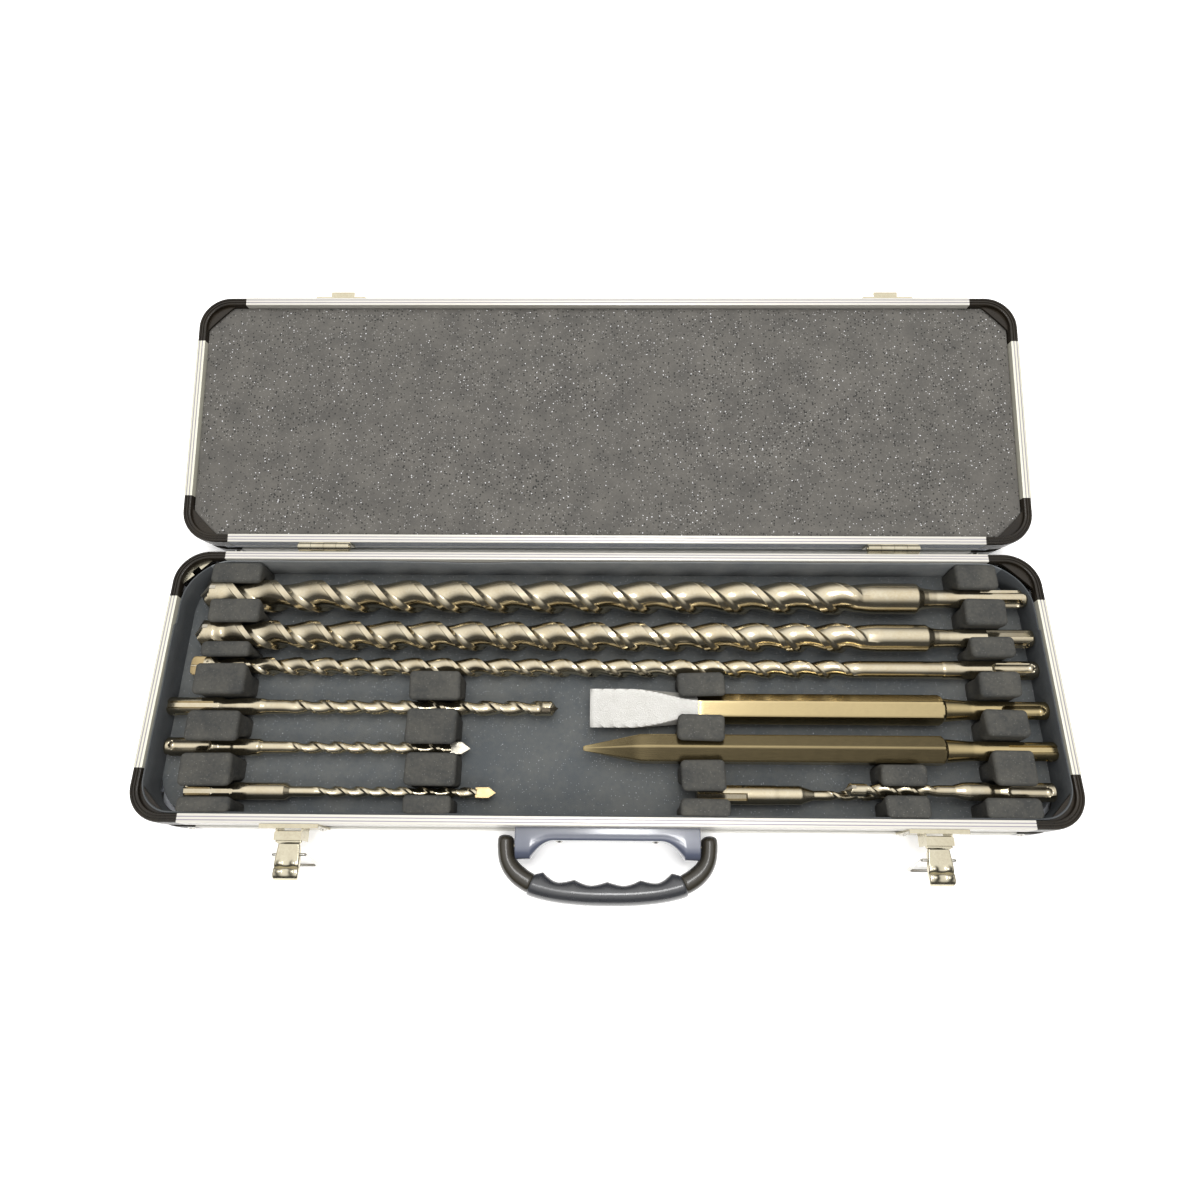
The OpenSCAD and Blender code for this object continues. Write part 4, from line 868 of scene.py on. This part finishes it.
def buildChisels():
    for name, surface in (("flat_chisel", flatChiselSurface()), ("point_chisel", pointChiselSurface())):
        piece = meshObject(name.replace("_c", "C"), *tube(surface, flip=True), "hexSteel", sharp=22)
        if name == "flat_chisel":
            piece.data.materials.append(materials["groundSteel"])
            middle = np.empty(len(piece.data.polygons) * 3)
            piece.data.polygons.foreach_get("center", middle)
            ground = (middle.reshape(-1, 3)[:, 0] < 0.048).astype(np.int32)
            piece.data.polygons.foreach_set("material_index", ground)
        carry(piece, name, name)


buildDrills()
buildChisels()
print("stage: bits and chisels")


handle = {"x": 2.0, "z": 15.0, "bracketWidth": 91.4, "gripEnd": 37.4, "gripR": 5.6, "cusp": 16.6,
          "valley": 3.95,
          # half of the loop's middle line in the plan, as (distance from its middle, how far out)
          "halfPath": [(-50.2, 3.2), (-50.5, 6.5), (-50.3, 10.5), (-49.4, 15.0), (-46.9, 19.3),
                  (-42.4, 23.3), (-36.6, 26.4), (-30.0, 28.2), (-22.0, 29.5), (-11.0, 30.4), (0.0, 30.6)]}


def frontY(out):
    return -halfD - np.asarray(out, float)


def sweep(path, ahead, sizes):
    """Superellipse sections (half width in the plan, half height) carried along a path in the plan."""
    power = 2.3
    a = np.linspace(0, 2 * math.pi, 32, endpoint=False)
    c, n = np.cos(a), np.sin(a)
    across = np.sign(c) * np.abs(c) ** (2 / power)
    up = np.sign(n) * np.abs(n) ** (2 / power)
    side = np.stack([-ahead[:, 1], ahead[:, 0]], -1)
    xy = path[:, None, :2] + side[:, None, :] * (across[None, :, None] * sizes[:, 0, None, None])
    z = path[:, 2, None] + up[None, :] * sizes[:, 1, None]
    return np.concatenate([xy, z[..., None]], -1)


def smoothThrough(points, steps):
    """A Catmull-Rom curve through a list of points."""
    p = np.array(points, float)
    p = np.concatenate([[2 * p[0] - p[1]], p, [2 * p[-1] - p[-2]]])
    t = np.linspace(0, 1, steps, endpoint=False)[:, None]
    runs = [0.5 * (2 * b + (c - a) * t + (2 * a - 5 * b + 4 * c - d) * t ** 2
            + (3 * b - a - 3 * c + d) * t ** 3)
            for a, b, c, d in zip(p, p[1:], p[2:], p[3:])]
    return np.concatenate(runs + [p[-2:-1]])


def handlePath():
    """From the left pivot out, round the bend, along the bowed grip and back, in the plan."""
    half = np.array(handle["halfPath"])
    whole = np.concatenate([half, half[-2::-1] * [-1, 1]])
    path = smoothThrough(whole, 8)
    return np.stack([path[:, 0] + handle["x"], frontY(path[:, 1]), np.full(len(path), handle["z"])], -1)


def buildHandle():
    path = handlePath()
    ahead = np.gradient(path[:, :2], axis=0)
    ahead /= np.linalg.norm(ahead, axis=1)[:, None]
    away = np.abs(path[:, 0] - handle["x"])
    fromEnd = np.minimum(np.arange(len(path)), np.arange(len(path))[::-1])
    round_ = np.interp(fromEnd, [0, 1, 3, 6, 10], [0.35, 0.62, 0.88, 0.98, 1.0])
    wide = np.interp(away, [0, 35, 36.8, 37.6, 44, 50], [3.5, 3.5, 3.6, 4.75, 4.7, 4.2]) * round_
    high = np.interp(away, [0, 35, 36.8, 37.6, 44, 50], [3.5, 3.5, 3.6, 5.0, 5.2, 5.6]) * round_
    loop = sweep(path, ahead, np.stack([wide, high], -1))
    piece = meshObject("handleLoop", *tube(loop, flip=True), "handleGloss", sharp=50)
    carry(piece, "handle", "handle_loop")
    buildGrip(path, ahead)


def buildGrip(path, ahead):
    """The sleeve: round outside, four scallops between five cusps inside, ends cut square to the path."""
    end, x = handle["gripEnd"], path[:, 0] - handle["x"]
    place = np.concatenate([[-end, -end], np.linspace(-end + 0.5, end - 0.5, 150), [end, end]])
    y = np.interp(place, x[np.abs(x) < 48], path[np.abs(x) < 48, 1])
    way = np.stack([np.interp(place, x, ahead[:, 0]), np.interp(place, x, ahead[:, 1])], -1)
    inward = np.stack([-way[:, 1], way[:, 0]], -1)
    scallop = 1 - np.abs(np.sin(np.pi * place / handle["cusp"]))
    cusp = 1.75 + 1.25 * (np.abs(place) / 33) ** 2
    fall = np.clip((np.abs(place) - 2 * handle["cusp"]) / (end - 2 * handle["cusp"]), 0, 1)
    inner = handle["valley"] + cusp * scallop ** 0.85
    inner = np.where(fall > 0, handle["valley"] + cusp + (4.9 - handle["valley"] - cusp) * fall, inner)
    outer = np.full(len(place), handle["gripR"])
    inner[[0, -1]], outer[[0, -1]] = 3.4, 3.4
    inner[[1, -2]], outer[[1, -2]] = 4.6, 5.2
    a = np.linspace(0, 2 * math.pi, 56, endpoint=False)
    towards = np.clip(np.cos(a), 0, 1) ** 0.8
    across = outer[:, None] + (inner - outer)[:, None] * towards[None, :]
    outward = inward[:, None, :] * (across * np.cos(a)[None, :])[..., None]
    xy = np.stack([place + handle["x"], y], -1)[:, None, :] + outward
    upright = np.minimum(outer, 5.8)[:, None] * (1 - 0.10 * towards[None, :])
    z = handle["z"] + upright * np.sin(a)[None, :]
    piece = meshObject("handleGrip", *tube(np.concatenate([xy, z[..., None]], -1), flip=True), "gripSatin",
            sharp=50)
    carry(piece, "handle", "handle_grip")


def bracketOut(x):
    """How far the bracket stands out along its length: a straight bar, then a hollow rise to each end."""
    rise = np.clip((np.abs(x) - 26) / 11.8, 0, 1)
    return 6.1 + 8.3 * rise ** 2.2 + 0.5 * smooth((np.abs(x) - 37.6) / 0.6)


def buildBracket():
    half = handle["bracketWidth"] / 2
    x = np.unique(np.concatenate([np.linspace(-half, half, 121), [-half + 0.5, half - 0.5]]))
    out = bracketOut(x)
    h = 7.5
    rows = []
    for xi, o in zip(x, out):
        end = 0.5 if abs(abs(xi) - half) < 0.01 else 0.0
        turn = np.radians(np.linspace(0, 90, 9))
        r = float(np.interp(o, [6.1, 14.4], [1.5, 6.0]))
        crown = [(f * (o - r), h - 0.12 - 0.4 * f ** 3) for f in np.linspace(0, 1, 9)[:-1]]
        upper = crown + [(o - r + r * math.sin(a), h - 0.5 - 0.85 * r + 0.85 * r * math.cos(a)) for a in turn]
        lower = [(o - 0.9, -h + 0.25), (o - 1.6, -h), (0.0, -h)]
        ring = [(max(a - end, 0.0), b + (end if b < 0 else -end)) for a, b in upper + [(o, -h + 1.2)] + lower]
        rows.append([(xi + handle["x"], float(frontY(p)), handle["z"] + q) for p, q in ring])
    piece = meshObject("handleBracket", *tube(np.array(rows), flip=False), "bracketGloss", sharp=30)
    carry(piece, "base", "handle_bracket")


buildHandle()
buildBracket()
print("stage: handle")


latch = {"x": (-153.5, 162.0), "pivotOut": 5.0, "pivotZ": 23.0, "arm": 9.0,
         "wire": 0.8, "loopHalf": 8.1, "loopLength": 21.79, "loopRest": 80.0}


def buildLever(side, x):
    """The lever: a pressed sheet with a band over its eye, flanges, a crease, four domes and a lip."""
    r = np.unique(np.concatenate([[-2.2, -1.8, 0, 2, 3.4, 3.8, 4.2, 4.8], np.arange(6, 18.5, 0.45),
            [18.8, 19.4, 20, 20.6, 21.0]]))
    half = np.interp(r, [-2.2, 3.6, 4.0, 4.8, 12, 18, 20.2, 21.0], [6.5, 6.5, 5.0, 5.3, 6.0, 6.2, 6.1, 5.2])
    top = np.interp(r, [-2.2, -1.8, 3.6, 4.0, 18.6, 19.6, 20.4, 21.0],
            [2.4, 3.0, 3.0, 2.1, 2.1, 1.7, 0.9, -0.2])
    u = np.linspace(-1, 1, 49)
    skirt = np.interp(r, [-2.2, 3.6, 6, 16, 18, 21], [0.9, 0.9, 2.6, 2.6, 1.2, 0.9])
    rows = []
    for ri, hi, ti, si in zip(r, half, top, skirt):
        y = u * hi
        crease = 0.75 * math.exp(-((ri - 15.0) / 0.55) ** 2)
        domes = sum(0.7 * math.exp(-((ri - along) / 1.25) ** 2) * np.exp(-((y - across) / 1.45) ** 2)
                for along in (13.0, 17.0) for across in (-3.3, 3.3))
        fall = np.where(np.abs(u) > 0.94, (np.abs(u) - 0.94) / 0.06, 0) * 0.35
        upper = np.stack([y, np.full(49, ri), ti + domes - crease - fall], -1)
        nearEdge = np.array([[hi, ri, ti - si], [hi - 0.9, ri, ti - si]])
        under = np.stack([y[::-1] * (hi - 0.9) / hi, np.full(49, ri), ti - 0.9 - 0.6 * crease + 0 * y], -1)
        farEdge = np.array([[-hi + 0.9, ri, ti - si], [-hi, ri, ti - si]])
        rows.append(np.concatenate([upper, nearEdge, under, farEdge]))
    local = np.array(rows)
    points = np.stack([x + local[..., 0], frontY(latch["pivotOut"] + local[..., 1]),
            latch["pivotZ"] + local[..., 2]], -1)
    a = np.linspace(0, 2 * math.pi, 24, endpoint=False)
    eyeY, eyeZ = frontY(latch["pivotOut"]), latch["pivotZ"]
    eye = [np.stack([x + w + 0 * a, eyeY + e * np.cos(a), eyeZ + e * np.sin(a)], -1)
            for w, e in ((-5.6, 1.7), (-5.6, 2.1), (5.6, 2.1), (5.6, 1.7))]
    piece = meshObject(f"latchLever{side.title()}",
            *joined([tube(points, flip=True), tube(np.array(eye), flip=True)]), "paleZinc", sharp=40)
    carry(piece, f"latch_lever_{side}", f"latch_lever_{side}")


def buildLoop(side, x):
    """The wire loop: round wire along a rectangle with bent corners, its feet turned in through the lever."""
    w, length, foot, bend = latch["loopHalf"], latch["loopLength"], 2.6, 2.2
    down = [(w - foot, 0.0)]
    a = np.radians(np.linspace(0, 90, 8))
    down += [(w - 1.0 + 1.0 * math.sin(t), 1.0 - 1.0 * math.cos(t)) for t in a]
    down += [(w - bend + bend * math.cos(t), length - bend + bend * math.sin(t)) for t in a]
    path = np.array(down + [(-p, q) for p, q in reversed(down)])
    ahead = np.gradient(path, axis=0)
    ahead /= np.linalg.norm(ahead, axis=1)[:, None]
    across = np.stack([-ahead[:, 1], ahead[:, 0]], -1)
    t = np.linspace(0, 2 * math.pi, 16, endpoint=False)
    flat = path[:, None, :] + across[:, None, :] * (latch["wire"] * np.cos(t))[None, :, None]
    off = (latch["wire"] * np.sin(t))[None, :] + 0 * flat[..., 0]
    tilt = math.radians(90 - latch["loopRest"])
    out = latch["pivotOut"] + latch["arm"] + flat[..., 1] * math.sin(tilt) + off * math.cos(tilt)
    z = latch["pivotZ"] - flat[..., 1] * math.cos(tilt) + off * math.sin(tilt)
    piece = meshObject(f"latchLoop{side.title()}",
            *tube(np.stack([x + flat[..., 0], frontY(out), z], -1), flip=True), "boltSteel", sharp=50)
    carry(piece, f"latch_loop_{side}", f"latch_loop_{side}")


for latchSide, latchX in zip(("left", "right"), latch["x"]):
    buildLever(latchSide, latchX)
    buildLoop(latchSide, latchX)
print("stage: latches")


def finishNodes():
    """Each CAD node that stays gets its finish."""
    table = {"board": "wallBoard", "black_plastic": "cornerBlack", "plated_steel": "paleZinc",
            "aluminium_profile": "boltSteel"}
    for part in frame["record"]["subparts"]:
        node, finish = nodes[part["node"]], table.get(part["material_slot"])
        if finish:
            node.data.materials.clear()
            node.data.materials.append(materials[finish])


def makeFloor():
    mesh = bpy.data.meshes.new("studioFloor")
    mesh.from_pydata([(-6, -6, 0), (6, -6, 0), (6, 6, 0), (-6, 6, 0)], [], [(0, 1, 2, 3)])
    floor = bpy.data.objects.new("studioFloor", mesh)
    plain = bpy.data.materials.new("studioFloor")
    plain.use_nodes = True
    shader = plain.node_tree.nodes["Principled BSDF"]
    shader.inputs["Base Color"].default_value = (*studio["floor"], 1)
    shader.inputs["Roughness"].default_value = 0.9
    shader.inputs["Emission Color"].default_value = (1, 1, 1, 1)
    shader.inputs["Emission Strength"].default_value = 0.3
    mesh.materials.append(plain)
    bpy.context.scene.collection.objects.link(floor)


finishNodes()
makeFloor()
print("stage: finishes")
